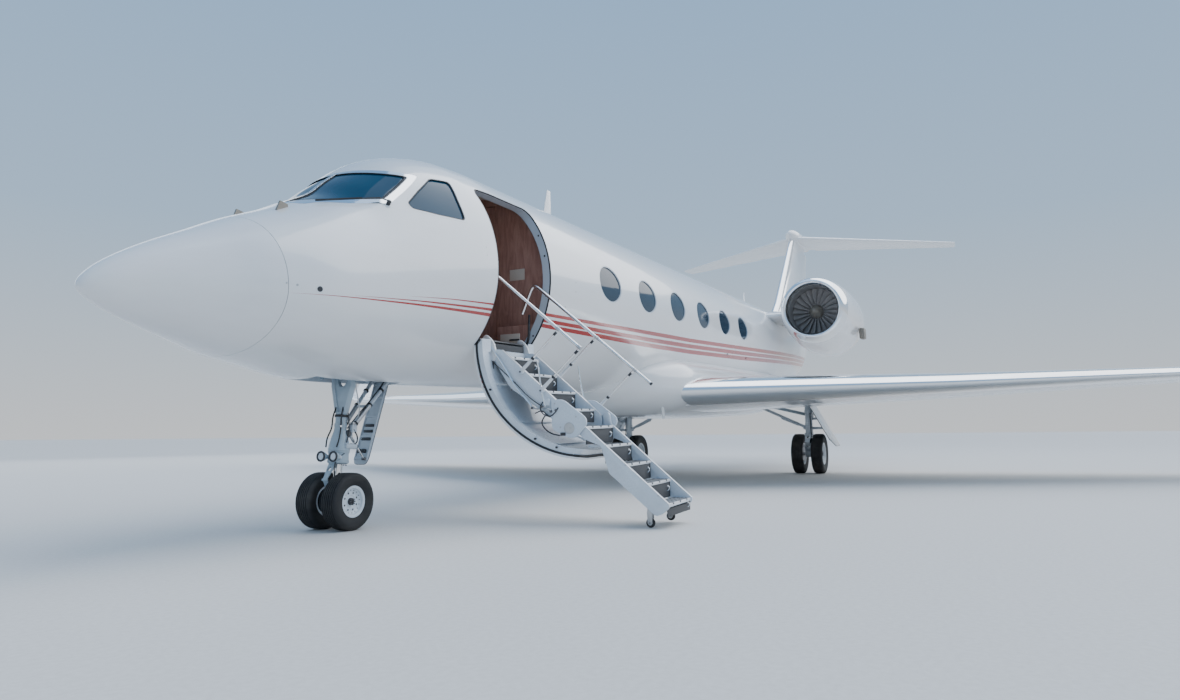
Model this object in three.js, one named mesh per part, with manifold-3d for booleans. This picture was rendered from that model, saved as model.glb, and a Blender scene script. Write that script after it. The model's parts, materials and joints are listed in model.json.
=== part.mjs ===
// A twin-engined business jet on its landing gear, with its airstair door open.
// Millimetres, +X forward, +Y to port, +Z up, the tyres on the ground at Z = 0.
// The airframe is drawn level in its own group and sits nose-down on its gear, as the real one does.
import * as THREE from "three";
import { mergeVertices } from "three/addons/utils/BufferGeometryUtils.js";
import Module from "manifold-3d";

const wasm = await Module();
wasm.setup();

// Driving dimensions of the airframe. Stations run aft from the tip of the nose.
const NOSE_DOWN = THREE.MathUtils.degToRad(1.4535);
const NOSE_AHEAD = 13916; // from the main axle to the tip of the nose
const ORIGIN_AHEAD = 533; // from the main axle to the middle of the whole length
const WHEELBASE = 11543;
const TRACK = 4170;
const WALL = 100;
const SKIN_GAP = 0.5;
const SEAT_GAP = 0.8;
const MOVING_GAP = 6;
const RING_SIDES = 26;

const PAINT = { color: 0xf3f3f1, roughness: 0.22, metalness: 0 };
const METAL = { color: 0xd4d7da, roughness: 0.18, metalness: 1 };
const GREY = { color: 0xb7bdc2, roughness: 0.45, metalness: 0.2 };
const RUBBER = { color: 0x1b1b1d, roughness: 0.8, metalness: 0 };
const GLASS = { color: 0x20262c, roughness: 0.05, metalness: 0 };
const DARK = { color: 0x2b2c2e, roughness: 0.6, metalness: 0.3 };
const VENEER = { color: 0x6b2f22, roughness: 0.25, metalness: 0 };
const TREAD = { color: 0x39393c, roughness: 0.75, metalness: 0.1 };

const jet = new THREE.Group();
const ground = new THREE.Group();
ground.position.x = -ORIGIN_AHEAD;
const airframe = new THREE.Group();
airframe.rotation.y = NOSE_DOWN;
ground.add(airframe);
jet.add(ground);

const ahead = (station) => NOSE_AHEAD - station;
const deg = THREE.MathUtils.degToRad;

// A closed three.js geometry as a solid, and a solid as a geometry.
function solidOf(geometry) {
  const bare = geometry.clone();
  for (const name of Object.keys(bare.attributes)) if (name !== "position") bare.deleteAttribute(name);
  const merged = mergeVertices(bare, 1e-3);
  const vertProperties = new Float32Array(merged.attributes.position.array);
  const corners = merged.index.array;
  const whole = [];
  for (let i = 0; i < corners.length; i += 3) {
    const [a, b, c] = corners.slice(i, i + 3);
    if (a !== b && b !== c && c !== a) whole.push(a, b, c);
  }
  const triVerts = new Uint32Array(whole);
  return new wasm.Manifold(new wasm.Mesh({ numProp: 3, vertProperties, triVerts }));
}

function geometryOf(solid) {
  const mesh = solid.getMesh();
  const geometry = new THREE.BufferGeometry();
  geometry.setAttribute("position", new THREE.BufferAttribute(new Float32Array(mesh.vertProperties), 3));
  geometry.setIndex(new THREE.BufferAttribute(new Uint32Array(mesh.triVerts), 1));
  geometry.computeVertexNormals();
  return geometry;
}

function add(group, name, shape, finish) {
  const geometry = shape.isBufferGeometry ? shape : geometryOf(shape);
  const mesh = new THREE.Mesh(geometry, new THREE.MeshStandardMaterial(finish));
  mesh.name = name;
  group.add(mesh);
  return mesh;
}

const joined = (...solids) => solids.reduce((whole, piece) => whole.add(piece));
const cut = (whole, ...tools) => tools.reduce((rest, tool) => rest.subtract(tool), whole);

// A solid skinned over closed rings of points that all have the same count.
function loft(rings) {
  const count = rings[0].length;
  const points = rings.flat();
  const faces = [];
  for (let r = 0; r + 1 < rings.length; r++) {
    for (let i = 0; i < count; i++) {
      const a = r * count + i;
      const b = r * count + ((i + 1) % count);
      faces.push(a, b, b + count, a, b + count, a + count);
    }
  }
  for (const [ring, first, turned] of [[rings[0], 0, true], [rings.at(-1), points.length - count, false]]) {
    const middle = ring.reduce((sum, p) => sum.add(p), new THREE.Vector3()).divideScalar(count);
    points.push(middle);
    for (let i = 0; i < count; i++) {
      const a = first + i;
      const b = first + ((i + 1) % count);
      faces.push(...(turned ? [points.length - 1, b, a] : [points.length - 1, a, b]));
    }
  }
  let volume = 0;
  for (let i = 0; i < faces.length; i += 3) {
    const [a, b, c] = faces.slice(i, i + 3).map((index) => points[index]);
    volume += a.dot(b.clone().cross(c));
  }
  if (volume < 0) faces.reverse();
  const geometry = new THREE.BufferGeometry();
  geometry.setAttribute("position", new THREE.Float32BufferAttribute(points.flatMap((p) => p.toArray()), 3));
  geometry.setIndex(faces);
  return solidOf(geometry);
}

const blend = (a, b, t) => a + (b - a) * t;

// A row of a table of numbers, read at any place between its rows.
function rowAt(table, key, place) {
  let i = 0;
  while (i + 2 < table.length && table[i + 1][key] < place) i++;
  const t = (place - table[i][key]) / (table[i + 1][key] - table[i][key]);
  return Object.fromEntries(Object.keys(table[i]).map((k) => [k, blend(table[i][k], table[i + 1][k], t)]));
}

const rowsOf = (names, rows) => rows.map((row) => Object.fromEntries(names.map((name, i) => [name, row[i]])));

function box(x0, x1, y0, y1, z0, z1) {
  const geometry = new THREE.BoxGeometry(Math.abs(x1 - x0), Math.abs(y1 - y0), Math.abs(z1 - z0));
  return solidOf(geometry.translate((x0 + x1) / 2, (y0 + y1) / 2, (z0 + z1) / 2));
}

// A round bar between two points.
function bar(from, to, radius, sides = 12, endRadius = radius) {
  const start = new THREE.Vector3(...from);
  const along = new THREE.Vector3(...to).sub(start);
  const geometry = new THREE.CylinderGeometry(endRadius, radius, along.length(), sides);
  geometry.translate(0, along.length() / 2, 0);
  geometry.applyQuaternion(new THREE.Quaternion().setFromUnitVectors(
    new THREE.Vector3(0, 1, 0), along.clone().normalize()));
  return solidOf(geometry.translate(start.x, start.y, start.z));
}

// A plate whose outline is drawn in Y and Z, from x0 to x1.
function plateAcross(outline, x0, x1) {
  const shape = new THREE.Shape(outline.map(([y, z]) => new THREE.Vector2(y, z)));
  const geometry = new THREE.ExtrudeGeometry(shape, { depth: Math.abs(x1 - x0), bevelEnabled: false });
  geometry.applyMatrix4(new THREE.Matrix4().set(0, 0, 1, Math.min(x0, x1), 1, 0, 0, 0, 0, 1, 0, 0, 0, 0, 0, 1));
  return solidOf(geometry);
}

// A plate whose outline is drawn in station and Z, from y0 to y1.
function plateAlong(outline, y0, y1) {
  const shape = new THREE.Shape(outline.map(([station, z]) => new THREE.Vector2(ahead(station), z)));
  const geometry = new THREE.ExtrudeGeometry(shape, { depth: Math.abs(y1 - y0), bevelEnabled: false });
  geometry.rotateX(Math.PI / 2);
  return solidOf(geometry.translate(0, Math.max(y0, y1), 0));
}

// A turned solid about the X axis. Its profile holds distances forward and radii; a ring's closes on itself.
function turned(profile, sides) {
  const closed = profile[0][1] > 0 ? [...profile, profile[0]] : profile;
  const points = closed.map(([forward, radius]) => new THREE.Vector2(radius, forward));
  const geometry = new THREE.LatheGeometry(points, sides);
  geometry.rotateZ(-Math.PI / 2);
  const solid = solidOf(geometry);
  if (solid.volume() > 0) return solid;
  const flipped = geometry.toNonIndexed();
  const place = flipped.attributes.position.array;
  for (let i = 0; i < place.length; i += 9)
    for (let k = 0; k < 3; k++) [place[i + k], place[i + 3 + k]] = [place[i + 3 + k], place[i + k]];
  return solidOf(flipped);
}

// Fuselage: its outline by station, each section an oval about its widest height.
const HULL = rowsOf(["station", "halfWidth", "middle", "top", "bottom"], [
  [0, 12, 2240, 2252, 2228],
  [60, 93, 2260, 2349, 2170],
  [150, 160, 2272, 2428, 2120],
  [300, 246, 2288, 2528, 2055],
  [500, 360, 2289, 2641, 1992],
  [800, 538, 2300, 2790, 1908],
  [1120, 750, 2312, 2950, 1822],
  [1500, 915, 2390, 3111, 1751],
  [1800, 982, 2452, 3262, 1687],
  [2000, 1018, 2493, 3366, 1660],
  [2200, 1052, 2534, 3534, 1650],
  [2400, 1084, 2575, 3683, 1645],
  [2600, 1111, 2617, 3825, 1643],
  [2800, 1135, 2658, 3915, 1643],
  [3000, 1157, 2699, 3973, 1644],
  [3300, 1181, 2761, 4026, 1646],
  [3700, 1195, 2844, 4039, 1649],
  [15200, 1195, 2844, 4039, 1649],
  [17000, 1140, 2880, 4039, 1700],
  [18800, 985, 2960, 4045, 1860],
  [20400, 790, 3100, 4055, 2110],
  [22000, 545, 3350, 4075, 2600],
  [23400, 290, 3700, 4070, 3250],
  [24450, 90, 3900, 4010, 3790],
]);

function hullRing(station, inset) {
  const row = rowAt(HULL, "station", station);
  const ring = [];
  for (let i = 0; i < RING_SIDES; i++) {
    const turn = (2 * Math.PI * (i + 0.5)) / RING_SIDES;
    const half = row.halfWidth - inset;
    const rise = Math.sin(turn) > 0 ? row.top - row.middle - inset : row.middle - row.bottom - inset;
    ring.push(new THREE.Vector3(ahead(station), half * Math.cos(turn), row.middle + rise * Math.sin(turn)));
  }
  return ring;
}

function hull(from, to, inset = 0) {
  const inner = HULL.map((row) => row.station).filter((station) => station > from + 5 && station < to - 5);
  return loft([from, ...inner, to].map((station) => hullRing(station, inset)));
}

// Where the fuselage's panels meet.
const RADOME_END = 1120;
const FRONT_END = 5200;
const CABIN_END = 15000;
const TAIL_END = 24450;
const TAIL_HOLLOW_END = 21500;
const NOSE_BULKHEAD = 1700;

// The entrance: its opening in the skin, and the airstair that folds out of it.
const DOORWAY = { front: 3365, back: 4400, sill: 2033, head: 3640, corner: 90 };
const HINGE = { y: 877, z: 2033 };
const DOOR_TURN = deg(135.7);
const DOOR_GAP = 8;

const prism = (outline, y0, y1) => plateAlong(outline, y0, y1);

// Cockpit glazing: outlines seen from the side, in station and Z, and how far out from the middle it reaches.
const WINDSCREEN = [[1690, 3203], [1750, 3222], [1932, 3229], [2204, 3260], [2420, 3429], [2604, 3583],
  [2444, 3605], [2356, 3622], [2322, 3634], [2180, 3610], [1690, 3330]];
const SIDE_WINDOW = [[2380, 3253], [2395, 3195], [2636, 3179], [2980, 3186], [2998, 3411], [3060, 3633],
  [2820, 3613], [2572, 3424]];

// An outline moved outwards all round, or inwards where the distance is negative.
function widened(outline, distance) {
  const points = outline.map(([a, b]) => new THREE.Vector2(a, b));
  const way = Math.sign(THREE.ShapeUtils.area(points));
  const normal = (from, to) => new THREE.Vector2(to.y - from.y, from.x - to.x).normalize().multiplyScalar(way);
  return points.map((point, i) => {
    const before = normal(points.at(i - 1), point);
    const after = normal(point, points[(i + 1) % points.length]);
    const out = before.clone().add(after).multiplyScalar(distance / (1 + before.dot(after)));
    return [point.x + out.x, point.y + out.y];
  });
}

function glazingCutter(grow) {
  const screen = widened(WINDSCREEN, grow);
  const side = widened(SIDE_WINDOW, grow);
  return [
    prism(screen, 25 - grow, 1300),
    prism(screen, -1300, -25 + grow),
    prism(side, 500, 1400),
    prism(side, -1400, -500),
  ];
}

// Cabin windows: upright ovals, evenly spaced along both sides.
const WINDOW = { first: 6010, pitch: 1261, count: 6, z: 2994, halfLong: 330, halfTall: 240, sides: 14 };

function windowOval(index, grow) {
  const outline = [];
  for (let i = 0; i < WINDOW.sides; i++) {
    const turn = (2 * Math.PI * (i + 0.5)) / WINDOW.sides;
    outline.push([
      WINDOW.first + index * WINDOW.pitch + (WINDOW.halfLong + grow) * Math.cos(turn),
      WINDOW.z + (WINDOW.halfTall + grow) * Math.sin(turn),
    ]);
  }
  return outline;
}

const windowIndexes = [...Array(WINDOW.count).keys()];

// The wing: its leading edge, chord and thickness by distance out from the middle.
const WING = rowsOf(["y", "front", "z", "chord", "thick", "drop"], [
  [1000, 8380, 1655, 5960, 0.1, 250],
  [5000, 10780, 1722, 4420, 0.094, 165],
  [11200, 14500, 1900, 1900, 0.085, 40],
]);
const TIP_THICKNESS = 0.085;
const TIP_DROP = 40;
const CAMBER = 0.01;
const SLAT_SHARE = 0.09;
const REAR_SHARE = 0.76;
const WING_ROOT = 1000;
const GEAR_BAY_END = 2560;
const FLAP = { from: 2580, to: 7600 };
const AILERON = { from: 7620, to: 10350 };
const WING_TIP = 11200;

// Height of an aerofoil's surface above its chord line, as a share of the chord.
function aerofoil(share, thick, upper) {
  const half = 5 * thick * (0.2969 * Math.sqrt(share) - 0.126 * share - 0.3516 * share ** 2
    + 0.2843 * share ** 3 - 0.1036 * share ** 4);
  const camber = CAMBER * 4 * share * (1 - share);
  return camber + (upper ? half : -half);
}

const SHARES = [0, 0.012, 0.04, 0.09, 0.2, 0.35, 0.55, 0.76, 0.88, 0.97, 1];

// A closed ring of an aerofoil between two shares of its chord, as distances aft and up.
function aerofoilRing(row, from, to, grow = 0) {
  const shares = [from, ...SHARES.filter((share) => share > from + 0.004 && share < to - 0.004), to];
  const blunt = 3;
  const point = (share, upper) => {
    const lift = aerofoil(share, row.thick, upper) * row.chord - row.drop * share;
    const aft = share * row.chord - (share === 0 ? grow : 0);
    return [aft, lift + (upper ? 1 : -1) * (grow + (share > 0.99 || share === 0 ? blunt : 0))];
  };
  const upper = shares.map((share) => point(share, true));
  const lower = shares.map((share) => point(share, false)).reverse();
  return [...upper, ...lower];
}

// A solid lofted over part of a table's span. It runs straight from one row's section to the next.
function spanOf(table, key, from, to, sectionOf) {
  const inner = table.map((row) => row[key]).filter((place) => place > from + 5 && place < to - 5);
  return loft([from, ...inner, to].map((place) => {
    let i = 0;
    while (i + 2 < table.length && table[i + 1][key] < place) i++;
    const t = (place - table[i][key]) / (table[i + 1][key] - table[i][key]);
    const next = sectionOf(table[i + 1]);
    return sectionOf(table[i]).map((point, k) => point.lerp(next[k], t));
  }));
}

// Where it meets a neighbour along the span, a part's front or rear edge stands back by a small clearance.
function wingPart(yFrom, yTo, from, to, { grow = 0, frontGap = 0, rearGap = 0 } = {}) {
  return spanOf(WING, "y", yFrom, yTo, (row) =>
    aerofoilRing(row, from + frontGap / row.chord, to - rearGap / row.chord, grow).map(([aft, up]) =>
      new THREE.Vector3(ahead(row.front + aft), row.y, row.z + up)));
}

// The winglet: rows up a curve, each section leaning by its cant.
const WINGLET = rowsOf(["y", "z", "front", "chord", "cant"], [
  [11202, 1900, 14500, 1900, 0],
  [11480, 1945, 14720, 1700, 25],
  [11680, 2110, 15010, 1430, 60],
  [11760, 2420, 15350, 1120, 78],
  [11850, 3080, 15980, 600, 80],
]);

function winglet() {
  const upright = WINGLET.at(-1).cant;
  const tip = loft(WINGLET.map((row) => {
    const section = { thick: TIP_THICKNESS, chord: row.chord, drop: TIP_DROP * (1 - row.cant / upright) };
    return aerofoilRing(section, 0, 1).map(([aft, up]) => new THREE.Vector3(
      ahead(row.front + aft),
      row.y - up * Math.sin(deg(row.cant)),
      row.z + up * Math.cos(deg(row.cant))));
  }));
  return joined(tip, wingPart(AILERON.to + 20, WING_TIP + 2, REAR_SHARE, 1),
    wingPart(WING_TIP - 2, WING_TIP + 4, 0.1, 1));
}

// The fairing that carries the wing under the cabin.
const FAIRING_SIDES = 24;
const FAIRING = rowsOf(["station", "halfWidth", "middle", "top", "bottom"], [
  [7350, 380, 1800, 1960, 1640],
  [8000, 1040, 1790, 2180, 1400],
  [8900, 1290, 1780, 2300, 1270],
  [11500, 1330, 1780, 2320, 1215],
  [14700, 1310, 1800, 2320, 1240],
  [16300, 1120, 1850, 2260, 1400],
  [17500, 560, 1920, 2120, 1690],
]);

// The wing without its moving pieces, and the room it takes up in its neighbours.
const wingBox = (grow) => joined(
  wingPart(WING_ROOT - grow, WING_TIP, SLAT_SHARE, REAR_SHARE, { grow, frontGap: -grow, rearGap: -grow }),
  wingPart(WING_ROOT - grow, GEAR_BAY_END, REAR_SHARE - 0.01, 1, { grow, rearGap: -grow }),
);

function fairingBody(grow) {
  return loft(FAIRING.map((row) => {
    const ring = [];
    for (let i = 0; i < FAIRING_SIDES; i++) {
      const turn = (2 * Math.PI * (i + 0.5)) / FAIRING_SIDES;
      const rise = Math.sin(turn) > 0 ? row.top - row.middle : row.middle - row.bottom;
      const square = (v) => Math.sign(v) * Math.abs(v) ** 0.75;
      ring.push(new THREE.Vector3(
        ahead(row.station),
        (row.halfWidth + grow) * square(Math.cos(turn)),
        row.middle + (rise + grow) * square(Math.sin(turn))));
    }
    return ring;
  }));
}

// The same solid on the other side of the middle plane.
const mirrored = (solid) => solid.mirror([0, 1, 0]);

// The doorway's outline as a block through the port wall, larger or smaller all round by a gap.
function doorBlock(gap) {
  const { front, back, sill, head, corner } = DOORWAY;
  const cornerIn = 0.3 * corner;
  const outline = [[front, sill], [back, sill], [back, head - corner], [back - cornerIn, head - cornerIn],
    [back - corner, head], [front + corner, head], [front + cornerIn, head - cornerIn], [front, head - corner]];
  return prism(widened(outline, gap), 300, 1400);
}

// The nose wheel well: a box of walls on the skin, open below.
const NOSE_WELL = { front: 1930, back: 3050, halfWidth: 215, wall: 30, top: 1915 };
const noseWell = box(ahead(NOSE_WELL.back), ahead(NOSE_WELL.front), -NOSE_WELL.halfWidth, NOSE_WELL.halfWidth,
  1400, NOSE_WELL.top - NOSE_WELL.wall);
const noseWellWalls = box(ahead(NOSE_WELL.back + NOSE_WELL.wall), ahead(NOSE_WELL.front - NOSE_WELL.wall),
  -NOSE_WELL.halfWidth - NOSE_WELL.wall, NOSE_WELL.halfWidth + NOSE_WELL.wall, 1680, NOSE_WELL.top);
const frontShell = joined(
  cut(hull(RADOME_END + SKIN_GAP, FRONT_END), hull(NOSE_BULKHEAD, FRONT_END + 10, WALL)),
  noseWellWalls,
);

add(airframe, "radome", hull(0, RADOME_END), PAINT);
add(airframe, "fuselage_front", cut(frontShell, doorBlock(0), noseWell, ...glazingCutter(0)), PAINT);

const cabinShell = cut(hull(FRONT_END + SKIN_GAP, CABIN_END), hull(FRONT_END - 10, CABIN_END + 10, WALL));
const windowHoles = windowIndexes.flatMap((index) => [
  prism(windowOval(index, 0), 700, 1400),
  prism(windowOval(index, 0), -1400, -700),
]);
add(airframe, "cabin_barrel", cut(cabinShell, ...windowHoles), PAINT);
add(airframe, "tail_section",
  cut(hull(CABIN_END + SKIN_GAP, TAIL_END), hull(CABIN_END - 10, TAIL_HOLLOW_END, WALL)), PAINT);
add(airframe, "belly_fairing",
  cut(fairingBody(0), hull(7000, 18500, -1), wingBox(SEAT_GAP), mirrored(wingBox(SEAT_GAP))), PAINT);

// Glass: panes flush with the skin, carried by a thin liner behind it.
const glazingBand = cut(hull(NOSE_BULKHEAD + 1, 3180, WALL + 0.8), hull(NOSE_BULKHEAD - 1, 3190, WALL + 24),
  box(ahead(3300), ahead(NOSE_BULKHEAD - 10), -1300, 1300, 1000, 3080),
  box(ahead(3300), ahead(3120), -1300, 1300, 2900, 4200));
const glazingPanes = glazingCutter(-0.8).map((pane) =>
  pane.intersect(cut(hull(1500, 3300, 12), hull(1500, 3300, WALL + 10))));
add(airframe, "cockpit_windows", joined(glazingBand, ...glazingPanes), GLASS);

function windowStrip() {
  const band = cut(hull(FRONT_END + 200, 13000, WALL + SKIN_GAP), hull(FRONT_END, 13100, WALL + 12),
    box(ahead(13100), ahead(FRONT_END), -1400, 800, 1000, 4400),
    box(ahead(13100), ahead(FRONT_END), 700, 1400, 1000, WINDOW.z - 280),
    box(ahead(13100), ahead(FRONT_END), 700, 1400, WINDOW.z + 280, 4400));
  const glass = cut(hull(FRONT_END + 100, 13100, 10), hull(FRONT_END, 13200, WALL + 10));
  const panes = windowIndexes.map((index) => prism(windowOval(index, -0.8), 800, 1400).intersect(glass));
  return joined(band, ...panes);
}
add(airframe, "cabin_windows_port", windowStrip(), GLASS);
add(airframe, "cabin_windows_starboard", mirrored(windowStrip()), GLASS);

// Cabin inside: floor, bulkheads and the galley across from the door
const FLOOR = { top: 1985, bottom: 1925 };
const slab = (from, to, y0, y1, z0, z1) =>
  hull(NOSE_BULKHEAD, CABIN_END, WALL + SEAT_GAP).intersect(box(ahead(to), ahead(from), y0, y1, z0, z1));
const cabinFloor = slab(2950, CABIN_END - 20, -1200, 1200, FLOOR.bottom, FLOOR.top);
const cockpitBulkhead = cut(slab(3190, 3240, -1200, 1200, FLOOR.bottom, 4100),
  box(ahead(3300), ahead(3100), -330, 330, FLOOR.top, 3720));
const entryPartition = cut(slab(4560, 4610, -1200, 1200, FLOOR.bottom, 4100),
  box(ahead(4700), ahead(4500), -360, 360, FLOOR.top, 3800));
const galley = slab(3300, 4540, -1200, -520, FLOOR.bottom, 3500);
const aftBulkhead = slab(14850, 14900, -1200, 1200, FLOOR.bottom, 4100);
add(airframe, "cabin_floor", joined(cabinFloor, cockpitBulkhead, entryPartition, galley, aftBulkhead), VENEER);

function pilotSeat(y) {
  const base = box(ahead(2930), ahead(2660), y - 180, y + 180, FLOOR.top - 5, 2450);
  const back = box(ahead(3080), ahead(2920), y - 190, y + 190, 2350, 3200);
  return joined(base, back);
}
const cockpitDeck = slab(2450, 2930, -1200, 1200, FLOOR.bottom, FLOOR.top);
const panel = slab(2460, 2560, -900, 900, FLOOR.bottom, 2930);
const pedestal = box(ahead(2940), ahead(2500), -230, 230, FLOOR.top - 5, 2500);
const cockpit = joined(cockpitDeck, panel, pedestal, pilotSeat(450), pilotSeat(-450));
add(airframe, "cockpit_seats_and_panel", cockpit, DARK);

// Tail surfaces
const FIN = rowsOf(["z", "front", "chord", "thick"], [
  [3990, 19600, 4850, 0.085],
  [4600, 20440, 4180, 0.09],
  [7060, 22900, 2590, 0.095],
]);
const FIN_TOP = 7060;
const RUDDER_SHARE = 0.7;
const RUDDER = { from: 4350, to: 6860 };

function finPart(zFrom, zTo, from, to, { grow = 0, frontGap = 0 } = {}) {
  return spanOf(FIN, "z", zFrom, zTo, (row) =>
    aerofoilRing({ ...row, drop: 0 }, from + frontGap / row.chord, to, grow).map(([aft, up], i, ring) => {
      const even = (up - ring[ring.length - 1 - i][1]) / 2;
      return new THREE.Vector3(ahead(row.front + aft), even, row.z);
    }));
}
const BULLET = {
  station: 22620,
  z: 7180,
  profile: [[0, 0], [-60, 80], [-250, 162], [-650, 228], [-1300, 248], [-2000, 228], [-2600, 162], [-3050, 68],
    [-3150, 0]],
};
const TAILPLANE = rowsOf(["y", "front", "z", "chord", "thick"], [
  [0, 22980, 7100, 2420, 0.1],
  [4870, 26060, 6967, 900, 0.09],
]);
const ELEVATOR_SHARE = 0.7;
const TAILPLANE_TIP = 4870;
function tailplanePart(yFrom, yTo, from, to, { grow = 0, frontGap = 0, rearGap = 0 } = {}) {
  return spanOf(TAILPLANE, "y", yFrom, yTo, (row) =>
    aerofoilRing({ ...row, drop: 0 }, from + frontGap / row.chord, to - rearGap / row.chord, grow)
      .map(([aft, up]) => new THREE.Vector3(ahead(row.front + aft), row.y, row.z + up)));
}

const stabHalf = (grow) => joined(
  tailplanePart(-grow, TAILPLANE_TIP, 0, ELEVATOR_SHARE, { grow, rearGap: -grow }),
  tailplanePart(-grow, 320, ELEVATOR_SHARE - 0.01, 0.9, { grow, rearGap: -grow }),
);
const stab = (grow) => joined(stabHalf(grow), mirrored(stabHalf(grow)));
const fin = cut(
  joined(finPart(FIN[0].z, FIN_TOP, 0, RUDDER_SHARE),
    finPart(FIN[0].z, RUDDER.from - SKIN_GAP, RUDDER_SHARE - 0.01, 1)),
  hull(17000, TAIL_END + 50, -SKIN_GAP),
);
const bullet = turned(BULLET.profile, 16).translate([ahead(BULLET.station), 0, BULLET.z]);
add(airframe, "fin", cut(fin, stab(SEAT_GAP)), PAINT);
add(airframe, "rudder", finPart(RUDDER.from, RUDDER.to, RUDDER_SHARE, 1, { frontGap: SKIN_GAP }), PAINT);
add(airframe, "tail_bullet", cut(bullet, stab(SEAT_GAP),
  finPart(FIN[0].z, FIN_TOP + SEAT_GAP, 0, RUDDER_SHARE + 0.0003, { grow: SEAT_GAP })), PAINT);
add(airframe, "tailplane", stab(0), PAINT);
const elevator = tailplanePart(340, 4830, ELEVATOR_SHARE, 1, { frontGap: SKIN_GAP });
add(airframe, "elevator_port", elevator, PAINT);
add(airframe, "elevator_starboard", mirrored(elevator), PAINT);

// Wing nodes, made on the port side and mirrored
const bothSides = { port: (solid) => solid, starboard: mirrored };
const wingTipPiece = cut(winglet(),
  wingPart(WING_ROOT, WING_TIP + SKIN_GAP, 0, REAR_SHARE, { grow: SKIN_GAP, rearGap: -SKIN_GAP }));

// Engines, one each side of the tail on a short pylon
const ENGINE = { y: 2090, z: 3610, front: 14750, sides: 22 };
const LIP = [[0, 622], [30, 662], [120, 708], [330.5, 752], [330.5, 575], [140, 556], [60, 566], [15, 592]];
const COWL_OUTSIDE = [[331, 752], [600, 775], [900, 793], [1500, 800], [2300, 785], [3300, 715], [4100, 610],
  [5000, 470]];
const COWL_INSIDE = [[5000, 455], [4100, 590], [3300, 640], [1200, 640], [900, 562], [331, 576]];
// How much deeper the cowl hangs underneath, where the engine's accessories are.
const COWL_BULGE = rowsOf(["aft", "deeper", "bore"], [
  [331, 0, 600],
  [600, 75, 600],
  [900, 125, 660],
  [1500, 165, 700],
  [2300, 170, 700],
  [3300, 100, 670],
  [4100, 20, 600],
  [5000, 0, 460],
]);
const FAN = { face: 640, radius: 550, hub: 175, blades: 20, depth: 120, twist: 0.2 };
const CORE = { front: 900, back: 3900, radius: 430 };
const VANE = { front: 1350, back: 1650, thick: 24, root: 300, tip: 640, angles: [45, 135, 225, 315] };

const enginePiece = (profile) => turned(profile.map(([aft, radius]) => [-aft, radius]), ENGINE.sides);

const bulged = (solid) => solid.warp((point) => {
  const radius = Math.hypot(point[1], point[2]);
  const { deeper, bore } = rowAt(COWL_BULGE, "aft", -point[0]);
  if (point[2] < 0 && radius > bore) point[2] -= deeper * (point[2] / radius) ** 2;
});
const cowl = bulged(enginePiece([...COWL_OUTSIDE, ...COWL_INSIDE]));

function fan() {
  const outline = [];
  for (let index = 0; index < FAN.blades; index++) {
    const middle = (2 * Math.PI * index) / FAN.blades;
    for (const [radius, half] of [[FAN.hub, -0.07], [FAN.radius, -0.035], [FAN.radius, 0.035], [FAN.hub, 0.07]])
      outline.push(new THREE.Vector2(radius * Math.cos(middle + half), radius * Math.sin(middle + half)));
  }
  const disc = new THREE.ExtrudeGeometry(new THREE.Shape(outline), { depth: FAN.depth, bevelEnabled: false });
  const place = disc.attributes.position;
  for (let i = 0; i < place.count; i++) {
    const twist = (FAN.twist * place.getZ(i)) / FAN.depth;
    const point = new THREE.Vector3().fromBufferAttribute(place, i);
    point.applyAxisAngle(new THREE.Vector3(0, 0, 1), twist);
    place.setXYZ(i, point.x, point.y, point.z);
  }
  disc.rotateY(-Math.PI / 2);
  const blades = solidOf(disc.translate(-FAN.face, 0, 0));
  const behind = FAN.face + FAN.depth + 5;
  const spinner = enginePiece([[FAN.face - 330, 0], [FAN.face - 230, 70], [FAN.face - 2, FAN.hub - 20],
    [behind, FAN.hub - 20], [behind, 60], [CORE.front - SKIN_GAP, 60], [CORE.front - SKIN_GAP, 0]]);
  return joined(spinner, blades);
}

function engineCore() {
  const body = enginePiece([[CORE.front, 0], [CORE.front, 300], [CORE.front + 250, CORE.radius],
    [CORE.back - 700, CORE.radius - 30], [CORE.back, 330], [CORE.back + 500, 60], [CORE.back + 520, 0]]);
  const vanes = VANE.angles.map((angle) => {
    const vane = new THREE.BoxGeometry(VANE.back - VANE.front, VANE.thick, VANE.tip - VANE.root);
    vane.translate(-(VANE.front + VANE.back) / 2, 0, (VANE.tip + VANE.root) / 2);
    vane.rotateX(deg(angle));
    return solidOf(vane);
  });
  const duct = enginePiece([[VANE.front - 10, VANE.tip - SKIN_GAP], [VANE.back + 10, VANE.tip - SKIN_GAP],
    [VANE.back + 10, 0], [VANE.front - 10, 0]]);
  return joined(body, ...vanes.map((vane) => vane.intersect(duct)));
}

const PYLON = rowsOf(["y", "front", "chord", "z", "thick"], [
  [900, 15350, 3900, 3590, 0.085],
  [2000, 15600, 3500, 3610, 0.075],
]);
function pylon() {
  const plate = loft(PYLON.map((row) => aerofoilRing({ ...row, drop: 0 }, 0, 1)
    .map(([aft, up]) => new THREE.Vector3(ahead(row.front + aft), row.y, row.z + up))));
  const roomOutside = COWL_OUTSIDE.map(([aft, radius]) => [aft, radius + SEAT_GAP]);
  const cowlRoom = bulged(enginePiece([[300, 0], ...roomOutside, [5000, 0]]))
    .translate([ahead(ENGINE.front), ENGINE.y, ENGINE.z]);
  return cut(plate, cowlRoom, hull(14000, 21000, -SKIN_GAP));
}

// Landing gear, upright on the ground
const NOSE_WHEEL = { radius: 262, width: 184, apart: 158, rim: 140 };
const MAIN_WHEEL = { radius: 415, width: 235, apart: 204, rim: 225 };

const EYE_SIDES = 24;
const AXLE_GAP = 0.3;

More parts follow.
